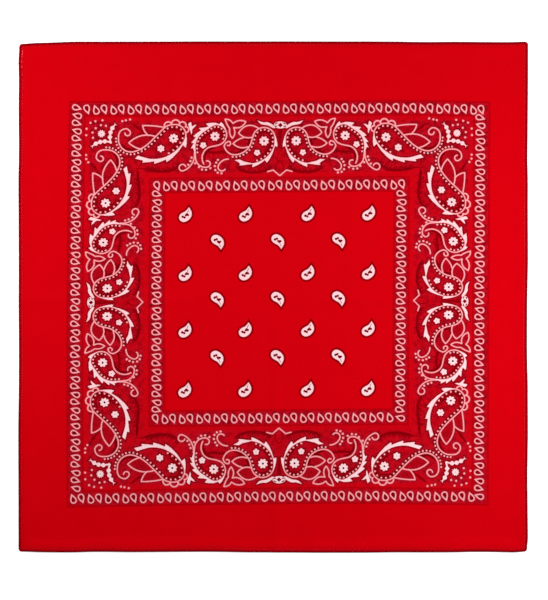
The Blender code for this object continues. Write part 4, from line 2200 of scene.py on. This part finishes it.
@dataclass
class Hem:
    """One hem: the square's turned edge, folded once more under itself.

    Attributes:
        form: where the cloth lies.
        finish: what it is made of.
        side: the side it runs along.
        wall: the thickness of its cloth.
        start: how far in from the edge it starts.
        end: how far in it ends.
        gap: how far from its ends the other hems lie.
        under: how far under the face's cloth it stays.
        bend: how wide its fold is.
        drawn_up: how far the stitches draw its underside up.
        pitch: how far apart its points are along the side.
    """

    form: ClothForm
    finish: "HemCotton"
    side: SideFrame
    wall: float = 0.42
    start: float = 1.3
    end: float = 6.3
    gap: float = 0.3
    under: float = 0.1
    bend: float = 0.85
    drawn_up: float = 0.15
    pitch: float = 4.0

    def build(self) -> bpy.types.Object:
        """Build the folded strip, and dress it.

        Returns:
            The finished piece.
        """
        reach = self.side.reach - (self.end + self.gap if self.side.upright else self.start)
        along = np.linspace(-reach, reach, round(2.0 * reach / self.pitch) + 1)
        ends = [sign * (reach - gap) for gap in END_GAPS for sign in (-1.0, 1.0)]
        along = np.sort(np.concatenate([along, ends]))
        count = len(along)

        def crown(inset: float) -> np.ndarray:
            """Return the height of the upper layer's top, just under the face's cloth."""
            x, y = self.side.lay(along, np.full(count, inset))
            return self.form.top(x, y) - THICKNESS - self.under

        def sole(inset: float) -> np.ndarray:
            """Return the height of the lower layer's underside, drawn up by the stitches."""
            drawn = self.drawn_up * float(np.exp(-(((inset - STITCH_INSET) / DRAWN_WIDTH) ** 2)))
            return np.full(count, REST + drawn)

        fold = self.end - self.bend
        flats = (self.start, *HEM_LINES, fold)
        outer = [(inset, sole(inset)) for inset in flats]
        inner = [(inset, sole(inset) + self.wall) for inset in flats]
        low, high = sole(self.end), crown(fold)
        middle, half = (low + high) / 2.0, (high - low) / 2.0
        for turn in FOLD_TURNS:
            rise, reach_in = -cos(pi * turn), sin(pi * turn)
            outer.append((fold + self.bend * reach_in, middle + half * rise))
            inner.append((fold + (self.bend - self.wall) * reach_in, middle + (half - self.wall) * rise))
        outer += [(inset, crown(inset)) for inset in flats[::-1]]
        inner += [(inset, crown(inset) - self.wall) for inset in flats[::-1]]
        lines = [*outer, *inner[::-1]]

        rings = []
        for inset, height in lines:
            x, y = self.side.lay(along, np.full(count, inset))
            x, y = self.form.lay(*round_corners(x, y))
            rings.append(np.stack([x, y, height], axis=1))
        total = len(lines)
        faces: list[list[int]] = []
        for line in range(total):
            here, ahead = line * count, (line + 1) % total * count
            faces += [[here + k, here + k + 1, ahead + k + 1, ahead + k] for k in range(count - 1)]
        for line in range(total // 2 - 1):
            quad = [line, line + 1, total - 2 - line, total - 1 - line]
            faces.append([corner * count for corner in quad])
            faces.append([corner * count + count - 1 for corner in quad[::-1]])
        if self.side.upright == self.side.far:
            faces = [face[::-1] for face in faces]
        piece = make_piece(f"hem_strip_{self.side.name}", np.vstack(rings), faces)
        piece.data.materials.append(self.finish.build())
        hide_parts(f"hem_{self.side.name}")
        return piece


# Where the back-tack's doubled stitches lie on the left side and how many times thicker they are,
# how far along the side that reaches, and from how many times thicker a stitch shows a painted glint.
BACK_TACK = ((270.8, 5.0), (265.6, 2.6), (259.6, 3.0), (254.1, 3.0), (246.4, 2.6))
TACK_REACH = 2.4
DOUBLED = 1.4

# The places round one stitch: the share of its half length, its girth, and how far it is sunk.
STATIONS = ((-1.0, 0.35, 1.0), (-0.7, 1.0, 0.35), (0.7, 1.0, 0.35), (1.0, 0.35, 1.0))


@dataclass
class Lockstitch:
    """The stitching of one side: a row of stitches on the face, and one on the underside.

    Attributes:
        form: where the cloth lies.
        finish: what the thread is made of.
        side: the side it runs along.
        pitch: the length of one stitch.
        gap: how much of that is hidden in the cloth.
        radius: half the thread's thickness.
        corners: how many corners the thread's round has.
        stray: how far stitches stray from a straight row.
        lift: how far over the cloth a stitch's middle lies.
        dip: how far its ends then sink into the cloth.
        back_lift: how far over the rest height a stitch's middle lies underneath.
        back_dip: how far its ends then rise into the cloth.
    """

    form: ClothForm
    finish: "SewingThread"
    side: SideFrame
    pitch: float = 3.0
    gap: float = 0.5
    radius: float = 0.16
    corners: int = 5
    stray: float = 0.08
    lift: float = 0.07
    dip: float = 0.16
    back_lift: float = 0.15
    back_dip: float = 0.1

    def thickness(self, along: np.ndarray) -> np.ndarray:
        """Return how much thicker each stitch is: the back-tack's at one corner lie doubled.

        Args:
            along: where the stitches lie along the side.

        Returns:
            How many times thicker each one is.
        """
        thick = np.ones_like(along)
        if self.side.name == "left":
            for place, times in BACK_TACK:
                thick = np.maximum(thick, times * np.exp(-(((along - place) / TACK_REACH) ** 2)))
        return thick

    def row(
        self, along: np.ndarray, heights: np.ndarray, thick: np.ndarray, dip: float
    ) -> tuple[np.ndarray, list[list[int]]]:
        """Return the points and faces of one row.

        Args:
            along: the middle of each stitch.
            heights: the height of each stitch's middle.
            thick: how much thicker than usual each stitch is.
            dip: how far each stitch's ends sink into the cloth, below 0 to rise into it.

        Returns:
            The points, and the points of each face.
        """
        half = (self.pitch - self.gap) / 2.0
        radius = self.radius * thick
        columns = []
        for share, girth, sunk in STATIONS:
            for corner in range(self.corners):
                turn = 2.0 * pi * corner / self.corners
                inset = STITCH_INSET + radius * girth * cos(turn) + self.stray * np.sin(along * 1.9)
                height = heights - dip * sunk + radius * girth * sin(turn)
                x, y = self.form.lay(*self.side.lay(along + half * share, inset))
                columns.append(np.stack([x, y, height], axis=1))
        ring, size = self.corners, len(STATIONS) * self.corners
        one: list[list[int]] = []
        for station in range(len(STATIONS) - 1):
            for corner in range(ring):
                a, b = station * ring + corner, station * ring + (corner + 1) % ring
                one.append([a, b, b + ring, a + ring])
        one.append(list(range(ring))[::-1])
        one.append([size - ring + corner for corner in range(ring)])
        count = len(along)
        faces = [[corner * count + number for corner in face] for number in range(count) for face in one]
        return np.vstack(columns), faces

    def build(self) -> bpy.types.Object:
        """Build both rows, and dress them.

        Returns:
            The finished piece.
        """
        reach = self.side.reach - STITCH_INSET
        count = round(2.0 * reach / self.pitch)
        along = (np.arange(count) + 0.5) / count * 2.0 * reach - reach
        x, y = self.side.lay(along, np.full(count, STITCH_INSET))
        thick = self.thickness(along)
        under = np.full(count, REST + self.back_lift)
        face_row, faces = self.row(along, self.form.top(x, y) + self.lift, thick, self.dip)
        back_row, back_faces = self.row(along, under, np.ones(count), -self.back_dip)
        doubled = np.repeat(thick > DOUBLED, len(faces) // count)
        faces += [[corner + len(face_row) for corner in face] for face in back_faces]
        if self.side.upright != self.side.far:
            faces = [face[::-1] for face in faces]
        piece = make_piece(
            f"stitching_{self.side.name}", np.vstack([face_row, back_row]), faces
        )
        # The doubled stitches take a paler copy of the thread: a painted glint.
        for thread in (self.finish, GLINT_THREAD):
            piece.data.materials.append(thread.build())
        for polygon, bright in zip(piece.data.polygons, doubled.tolist()):
            polygon.material_index = int(bright)
        return piece


# ---------------------------------------------------------------------------
# Finishes
# ---------------------------------------------------------------------------

Colour = tuple[float, float, float]
Inputs = dict[int | str, object]

# How much of the print shows through on the underside.
GHOST = 0.34


@dataclass
class Nodes:
    """Adds nodes to one tree, and links them.

    Attributes:
        tree: the tree.
    """

    tree: bpy.types.NodeTree

    def add(self, kind: str, inputs: Inputs, **settings: object) -> bpy.types.Node:
        """Add a node.

        Args:
            kind: the node's type.
            inputs: for its sockets, a constant or the socket that feeds it.
            settings: the node's own settings.

        Returns:
            The node.
        """
        node = self.tree.nodes.new(kind)
        for name, value in settings.items():
            setattr(node, name, value)
        for key, value in inputs.items():
            if isinstance(value, bpy.types.NodeSocket):
                self.tree.links.new(value, node.inputs[key])
            else:
                node.inputs[key].default_value = value
        return node

    def math(self, operation: str, *values: object) -> bpy.types.NodeSocket:
        """Return the result of a Math node."""
        return self.add("ShaderNodeMath", dict(enumerate(values)), operation=operation).outputs[0]

    def spread(
        self, value: object, low: float, high: float, start: float = 0.0, end: float = 1.0
    ) -> bpy.types.NodeSocket:
        """Return a value moved smoothly from one range to another."""
        inputs = {0: value, 1: low, 2: high, 3: start, 4: end}
        return self.add("ShaderNodeMapRange", inputs, interpolation_type="SMOOTHSTEP").outputs[0]

    def noise(
        self, vector: object, scale: float, detail: float, roughness: float = 0.5
    ) -> bpy.types.NodeSocket:
        """Return a noise value about 0.5."""
        inputs = {"Vector": vector, "Scale": scale, "Detail": detail, "Roughness": roughness}
        return self.add("ShaderNodeTexNoise", inputs, noise_dimensions="3D").outputs[0]

    def mix(self, share: object, first: object, second: object, blend: str = "MIX") -> bpy.types.NodeSocket:
        """Return two colours mixed.

        Args:
            share: how much of the second one is taken, from 0 to 1.
            first: a colour, or the socket that feeds it.
            second: the other one.
            blend: how they are mixed.

        Returns:
            The socket of the mixed colour.
        """
        inputs = {
            0: share,
            6: (*first, 1.0) if isinstance(first, tuple) else first,
            7: (*second, 1.0) if isinstance(second, tuple) else second,
        }
        return self.add("ShaderNodeMix", inputs, data_type="RGBA", blend_type=blend).outputs[2]

    def group(self, tree: bpy.types.NodeTree, inputs: Inputs) -> bpy.types.Node:
        """Place a node group."""
        return self.add("ShaderNodeGroup", inputs, node_tree=tree)

    def attribute(self, name: str) -> bpy.types.Node:
        """Read an attribute of the mesh."""
        return self.add("ShaderNodeAttribute", {}, attribute_name=name, attribute_type="GEOMETRY")

    def link(self, source: bpy.types.NodeSocket, target: bpy.types.NodeSocket) -> None:
        """Lead one socket to another."""
        self.tree.links.new(source, target)


def new_material(name: str, constants: Inputs) -> tuple[bpy.types.Material, Nodes, bpy.types.Node]:
    """Make a material, and set its shader's constants.

    Args:
        name: its name.
        constants: a value for each named socket of its shader.

    Returns:
        The material, its nodes and its shader.
    """
    material = bpy.data.materials.new(name)
    material.use_nodes = True
    shader = material.node_tree.nodes["Principled BSDF"]
    for label, value in constants.items():
        shader.inputs[label].default_value = value
    return material, Nodes(material.node_tree), shader


def new_group(name: str, inputs: dict[str, str], outputs: dict[str, str]) -> tuple[Nodes, dict, dict]:
    """Make an empty node group.

    Args:
        name: its name.
        inputs: its inputs and their socket types.
        outputs: its outputs and their socket types.

    Returns:
        Its nodes, its inputs' sockets and its outputs' sockets, by name.
    """
    tree = bpy.data.node_groups.new(name, "ShaderNodeTree")
    for side, sockets in (("INPUT", inputs), ("OUTPUT", outputs)):
        for label, kind in sockets.items():
            tree.interface.new_socket(label, in_out=side, socket_type=kind)
    entry = tree.nodes.new("NodeGroupInput")
    leave = tree.nodes.new("NodeGroupOutput")
    sources = {label: entry.outputs[label] for label in inputs}
    targets = {label: leave.inputs[label] for label in outputs}
    return Nodes(tree), sources, targets


def plain_weave() -> bpy.types.NodeTree:
    """Return the group for a plain weave: threads that pass over and under each other.

    It puts out the cloth's height and how open it is to light, both from 0 to 1.

    Returns:
        The node group, made once.
    """
    known = bpy.data.node_groups.get("plain weave")
    if known:
        return known
    nodes, given, out = new_group(
        "plain weave",
        {"Vector": "NodeSocketVector", "Threads per Metre": "NodeSocketFloat"},
        {"Height": "NodeSocketFloat", "Shade": "NodeSocketFloat"},
    )
    wander = nodes.noise(given["Vector"], 260.0, 1.0)
    parts = nodes.add("ShaderNodeSeparateXYZ", {0: given["Vector"]})
    across = nodes.math("MULTIPLY_ADD", parts.outputs[0], given["Threads per Metre"], wander)
    along = nodes.math("MULTIPLY_ADD", parts.outputs[1], given["Threads per Metre"], wander)
    wave_across = nodes.math("SINE", nodes.math("MULTIPLY", across, pi))
    wave_along = nodes.math("SINE", nodes.math("MULTIPLY", along, pi))
    over = nodes.math("MULTIPLY", wave_across, wave_along)
    above = nodes.math("MULTIPLY_ADD", over, 0.5, 0.5)
    below = nodes.math("MULTIPLY_ADD", over, -0.5, 0.5)
    warp = nodes.math("MULTIPLY", nodes.math("ABSOLUTE", wave_across), above)
    weft = nodes.math("MULTIPLY", nodes.math("ABSOLUTE", wave_along), below)
    height = nodes.math("MAXIMUM", warp, weft)
    slub = nodes.noise(given["Vector"], 900.0, 2.0)
    nodes.link(height, out["Height"])
    shade = nodes.math("MULTIPLY_ADD", height, 0.7, nodes.math("MULTIPLY", slub, 0.6))
    nodes.link(shade, out["Shade"])
    return nodes.tree


def uneven_dye() -> bpy.types.NodeTree:
    """Return the group for uneven dye: soft clouds, short streaks and fine specks.

    It puts out one mask about 0.5, which the Streaks input makes more or less streaky.

    Returns:
        The node group, made once.
    """
    known = bpy.data.node_groups.get("uneven dye")
    if known:
        return known
    nodes, given, out = new_group(
        "uneven dye",
        {"Vector": "NodeSocketVector", "Streaks": "NodeSocketFloat"},
        {"Mask": "NodeSocketFloat"},
    )
    clouds = nodes.noise(given["Vector"], 45.0, 3.0, 0.55)
    squeezed = nodes.add("ShaderNodeMapping", {"Vector": given["Vector"], "Scale": (1.0, 3.2, 1.0)})
    streaks = nodes.noise(squeezed.outputs[0], 120.0, 3.0, 0.6)
    mixed = nodes.add("ShaderNodeMix", {0: given["Streaks"], 2: clouds, 3: streaks}, data_type="FLOAT")
    specks = nodes.noise(given["Vector"], 700.0, 1.0)
    soft = nodes.math("MULTIPLY_ADD", specks, 0.25, nodes.math("MULTIPLY", mixed.outputs[0], 0.75))
    nodes.link(soft, out["Mask"])
    return nodes.tree


@dataclass(frozen=True)
class Cotton:
    """What the cotton finishes share: a matt, slightly furry plain weave.

    Attributes:
        name: the material's name.
        red: its colour where it is dyed lightest.
        deep: its colour where it is dyed deepest.
        streaks: how streaky the dye is, from 0 to 1.
        patchy: how far the dye goes from the one colour to the other.
        threads: how many threads lie along a metre.
        relief: how strongly they stand out.
        roughness: how matt it is.
        sheen: how furry it is.
    """

    name: str
    red: Colour
    deep: Colour
    streaks: float
    patchy: float
    threads: float = 2200.0
    relief: float = 0.10
    roughness: float = 0.9
    sheen: float = 0.06

    def build(self) -> bpy.types.Material:
        """Return the material, made once.

        Returns:
            The woven and dyed material.
        """
        known = bpy.data.materials.get(self.name)
        if known:
            return known
        constants = {
            "Metallic": 0.0,
            "Specular IOR Level": 0.0,
            "Sheen Weight": self.sheen,
            "Sheen Roughness": 0.5,
            "Sheen Tint": (1.0, 0.02, 0.04, 1.0),
        }
        material, nodes, shader = new_material(self.name, constants)
        material.diffuse_color = (*self.red, 1.0)
        places = nodes.add("ShaderNodeTexCoord", {}).outputs["Object"]
        weave = nodes.group(plain_weave(), {"Vector": places, "Threads per Metre": self.threads})
        dye = nodes.group(uneven_dye(), {"Vector": places, "Streaks": self.streaks}).outputs[0]
        cloth = nodes.mix(nodes.spread(dye, 0.3, 0.7, 0.0, self.patchy), self.red, self.deep)
        cloth = self.printed(nodes, places, dye, cloth)
        shaded = nodes.spread(weave.outputs["Shade"], 0.1, 1.1, 0.80, 1.08)
        lit = nodes.add("ShaderNodeCombineColor", {0: shaded, 1: shaded, 2: shaded}).outputs[0]
        nodes.link(nodes.mix(1.0, cloth, lit, "MULTIPLY"), shader.inputs["Base Color"])
        matt = (self.roughness + 0.08, self.roughness - 0.06)
        nodes.link(nodes.spread(weave.outputs["Height"], 0.0, 1.0, *matt), shader.inputs["Roughness"])
        relief = {"Strength": self.relief, "Distance": 0.0004, "Height": weave.outputs["Height"]}
        nodes.link(nodes.add("ShaderNodeBump", relief).outputs[0], shader.inputs["Normal"])
        return material

    def printed(
        self,
        nodes: Nodes,
        places: bpy.types.NodeSocket,
        dye: bpy.types.NodeSocket,
        cloth: bpy.types.NodeSocket,
    ) -> bpy.types.NodeSocket:
        """Return the cloth's colour with what is printed on it: here, nothing."""
        return cloth


@dataclass(frozen=True)
class PrintedCotton(Cotton):
    """The square's cotton: dyed red, and printed with white and dark ink.

    Attributes:
        reverse: the paler red of the underside.
        mottled: the red near the white ink, which has bled a little.
        ink_dark: the dark ink on the red.
        ink_black: the dark ink on the white.
        ink_white: the white ink, thick.
        ink_white_lifted: the white ink painted lighter towards the bottom, a painted lift where less lamp
            light falls.
        ink_thin: the white ink where it is thin and the red comes through.
        painted_edge_shade: the dark red of the painted shade along the folded edge.
        halo: how much dark ink lies close round the white.
        haze: how much of it lies loosely inside the border.
        haze_at_bottom: how much of the loose dark ink is left towards the bottom.
        speck: how many specks of dark ink lie along a metre.
    """

    reverse: Colour = (0.50, 0.010, 0.016)
    mottled: Colour = (0.60, 0.009, 0.027)
    ink_dark: Colour = (0.16, 0.0, 0.003)
    ink_black: Colour = (0.02, 0.01, 0.01)
    ink_white: Colour = (0.97, 0.64, 0.67)
    ink_white_lifted: Colour = (1.0, 0.74, 0.77)
    ink_thin: Colour = (0.97, 0.39, 0.42)
    painted_edge_shade: Colour = (0.11, 0.0001, 0.003)
    halo: float = 0.24
    haze: float = 0.34
    haze_at_bottom: float = 0.78
    speck: float = 2200.0

    def printed(
        self,
        nodes: Nodes,
        places: bpy.types.NodeSocket,
        dye: bpy.types.NodeSocket,
        cloth: bpy.types.NodeSocket,
    ) -> bpy.types.NodeSocket:
        """Return the cloth's colour with its print.

        Args:
            nodes: the material's nodes.
            places: the Object coordinates.
            dye: how unevenly the cloth took the dye.
            cloth: its colour before it is printed.

        Returns:
            Its colour.
        """
        ink = nodes.attribute("ink")
        marks = nodes.add("ShaderNodeSeparateColor", {0: ink.outputs["Color"]})
        white_mark, dark_mark, mottle_mark = marks.outputs
        up = nodes.add("ShaderNodeSeparateXYZ", {0: places}).outputs[1]

        # White ink that has bled, and the red of the face and of the reverse.
        bleed = nodes.math("MULTIPLY", nodes.attribute("near").outputs["Fac"], mottle_mark)
        tint = nodes.math("MULTIPLY_ADD", bleed, 0.6, nodes.math("MULTIPLY", mottle_mark, 0.2))
        cloth = nodes.mix(ink.outputs["Alpha"], self.reverse, nodes.mix(tint, cloth, self.mottled))

        # Dark ink: how much of the cloth it covers, and the specks in which it does.
        patches = nodes.spread(nodes.noise(places, 170.0, 2.0, 0.6), 0.34, 0.66)
        haze = nodes.math("MULTIPLY_ADD", patches, self.haze, self.haze * 0.4)
        # Less of the loose dark ink towards the bottom, so the border is lighter there.
        haze = nodes.math("MULTIPLY", haze, nodes.spread(up, -0.20, -0.10, self.haze_at_bottom, 1.0))
        loose = nodes.math("MULTIPLY", mottle_mark, haze)
        cover = nodes.math("MAXIMUM", dark_mark, nodes.math("MULTIPLY_ADD", bleed, self.halo, loose))
        specks = nodes.noise(places, self.speck, 1.0, 0.6)
        level = nodes.math("MULTIPLY_ADD", cover, -0.40, 0.70)
        dark = nodes.spread(nodes.math("SUBTRACT", specks, level), -0.15, 0.15)
        dark = nodes.math("MULTIPLY", dark, nodes.spread(cover, 0.0, 0.12))
        black = nodes.spread(dark_mark, 0.9, 1.0)
        cloth = nodes.mix(dark, cloth, nodes.mix(black, self.ink_dark, self.ink_black))

        # White ink: how thick it is, and how much of it shows on the reverse.
        full = nodes.spread(dye, 0.3, 0.6, 0.7, 1.0)
        thick = nodes.math("MULTIPLY", nodes.spread(white_mark, 0.5, 1.0), full)
        # Solid white is painted lighter towards the bottom: a painted lift where less lamp light falls.
        solid = nodes.mix(nodes.spread(up, -0.20, 0.20, 0.9, 0.0), self.ink_white, self.ink_white_lifted)
        through = nodes.math("MULTIPLY_ADD", ink.outputs["Alpha"], 1.0 - GHOST, GHOST)
        white = nodes.math("MULTIPLY", nodes.spread(white_mark, 0.0, 0.3), through)
        cloth = nodes.mix(white, cloth, nodes.mix(thick, self.ink_thin, solid))
        # Painted shade that darkens the cloth along its folded edge.
        painted_edge_shade = nodes.math("MULTIPLY", nodes.attribute("edge").outputs["Fac"], 0.92)
        return nodes.mix(painted_edge_shade, cloth, self.painted_edge_shade)


@dataclass(frozen=True)
class HemCotton(Cotton):
    """The turned hems' cotton, with no print."""


@dataclass(frozen=True)
class SewingThread:
    """The lockstitch's thread: red, with a soft gloss and a fine twist.

    Attributes:
        name: the material's name.
        red: its colour on top of the plies.
        deep: its darker colour, painted shade in the grooves between the plies and in random flecks.
        roughness: how matt it is at its glossiest.
        twist: how many plies lie along a metre.
    """

    name: str = "sewing thread"
    red: Colour = (0.82, 0.012, 0.03)
    deep: Colour = (0.55, 0.002, 0.01)
    roughness: float = 0.45
    twist: float = 2600.0

    def build(self) -> bpy.types.Material:
        """Return the material, made once.

        Returns:
            The twisted thread's material.
        """
        known = bpy.data.materials.get(self.name)
        if known:
            return known
        constants = {"Specular IOR Level": 0.4, "Sheen Weight": 0.1}
        material, nodes, shader = new_material(self.name, constants)
        material.diffuse_color = (*self.red, 1.0)
        places = nodes.add("ShaderNodeTexCoord", {}).outputs["Object"]
        parts = nodes.add("ShaderNodeSeparateXYZ", {0: places})
        slant = nodes.math("ADD", parts.outputs[0], parts.outputs[1])
        ply = nodes.math("SINE", nodes.math("MULTIPLY", slant, self.twist * pi))
        shade = nodes.spread(ply, -1.0, 1.0)
        fleck = nodes.noise(places, 400.0, 1.0)
        tone = nodes.math("MULTIPLY_ADD", shade, 0.6, nodes.math("MULTIPLY", fleck, 0.4))
        # Painted shade: the grooves between the plies are darker, with random flecks.
        nodes.link(nodes.mix(tone, self.deep, self.red), shader.inputs["Base Color"])
        rough = nodes.spread(fleck, 0.3, 0.7, self.roughness, self.roughness + 0.2)
        nodes.link(rough, shader.inputs["Roughness"])
        bump = nodes.add("ShaderNodeBump", {"Strength": 0.3, "Distance": 0.0001, "Height": ply})
        nodes.link(bump.outputs[0], shader.inputs["Normal"])
        return material


# A paler copy of the thread: the painted glint of the back-tack's doubled stitches.
GLINT_THREAD = SewingThread(name="thread with painted glint", red=(1.0, 0.075, 0.12), deep=(0.86, 0.03, 0.06))


# ---------------------------------------------------------------------------
# The studio
# ---------------------------------------------------------------------------


@dataclass
class Studio:
    """A pale floor, soft light from the right and the upper left, and a camera straight above.

    Attributes:
        lens: the camera's focal length in millimetres.
        film: the film's height in millimetres.
        pixel: how many metres of the cloth one pixel covers.
        middle_x: the pixel column of the frame's middle.
        middle_y: the pixel row of the frame's middle.
        level: the height of the cloth's face, in metres.
        floor: the floor's radius.
        lamp: the width of each light.
        room: how strongly light comes from all round.
    """

    lens: float = 100.0
    film: float = 36.0
    pixel: float = 0.0010996
    middle_x: float = 273.15
    middle_y: float = 297.1
    level: float = 0.001
    floor: float = 6.0
    lamp: float = 0.3
    room: float = 0.27

    def place_camera(self) -> None:
        """Put the camera above the cloth, and make it the scene's."""
        camera = bpy.data.cameras.new("camera")
        camera.lens = self.lens
        camera.sensor_fit = "VERTICAL"
        camera.sensor_height = self.film
        camera.clip_start = 0.05
        camera.clip_end = 50.0
        eye = bpy.data.objects.new("camera", camera)
        across = (PICTURE_WIDTH / 2.0 - self.middle_x) * self.pixel
        up = (self.middle_y - PICTURE_HEIGHT / 2.0) * self.pixel
        distance = PICTURE_HEIGHT * self.pixel * self.lens / self.film
        eye.location = (across, up, self.level + distance)
        bpy.context.scene.collection.objects.link(eye)
        bpy.context.scene.camera = eye

    def lay_floor(self) -> None:
        """Lay a pale round floor that stays evenly light under the cloth."""
        bpy.ops.mesh.primitive_circle_add(vertices=96, radius=self.floor, fill_type="NGON")
        floor = bpy.context.object
        floor.name = "floor"
        constants = {
            "Roughness": 0.8,
            "Specular IOR Level": 0.1,
            "Emission Color": (1.0, 1.0, 1.0, 1.0),
            "Emission Strength": 0.6,
        }
        material, nodes, shader = new_material("pale floor", constants)
        grain = nodes.noise(nodes.add("ShaderNodeTexCoord", {}).outputs["Object"], 60.0, 2.0)
        nodes.link(nodes.mix(grain, (0.86, 0.86, 0.86), (0.9, 0.9, 0.9)), shader.inputs["Base Color"])
        floor.data.materials.append(material)

    def add_light(self, name: str, place: tuple[float, float, float], power: float) -> None:
        """Hang a square soft light, turned to the cloth's middle.

        Args:
            name: its name.
            place: where it hangs.
            power: how strong it is.
        """
        light = bpy.data.lights.new(name, "AREA")
        light.shape = "SQUARE"
        light.size = self.lamp
        light.energy = power
        lamp = bpy.data.objects.new(name, light)
        lamp.location = place
        lamp.rotation_euler = (-Vector(place)).to_track_quat("-Z", "Y").to_euler()
        bpy.context.scene.collection.objects.link(lamp)

    def light(self) -> None:
        """Light the cloth from the right and the upper left, and softly from all round."""
        self.add_light("key light", (0.64, 0.02, 0.60), 5.0)
        self.add_light("second light", (-0.64, 0.26, 0.60), 4.5)
        world = bpy.data.worlds.new("soft room")
        world.use_nodes = True
        background = world.node_tree.nodes["Background"]
        background.inputs["Color"].default_value = (1.0, 1.0, 1.0, 1.0)
        background.inputs["Strength"].default_value = self.room
        bpy.context.scene.world = world

    def build(self) -> None:
        """Set everything up."""
        self.place_camera()
        self.lay_floor()
        self.light()
        scene = bpy.context.scene
        scene.view_settings.view_transform = "Standard"
        scene.view_settings.look = "None"


# ---------------------------------------------------------------------------
# The bandana
# ---------------------------------------------------------------------------


def main() -> None:
    """Build every piece."""
    logging.basicConfig(level=logging.INFO, format="%(message)s")
    bpy.ops.object.select_all(action="DESELECT")
    Studio().build()
    form = ClothForm()
    printed = PrintedCotton("printed cotton", (0.66, 0.0003, 0.0045), (0.56, 0.0002, 0.003), 0.35, 0.35)
    hemmed = HemCotton("hem cotton", (0.60, 0.0004, 0.0045), (0.46, 0.0002, 0.003), 0.2, 0.5)
    square = PrintedSquare(form, printed).build()
    parts = []
    for side in SIDES:
        parts.append(Hem(form, hemmed, side).build())
        parts.append(Lockstitch(form, SewingThread(), side).build())
    for piece in (square, *parts):
        log.info("%s: %d faces", piece.name, len(piece.data.polygons))


if __name__ == "__main__":
    main()
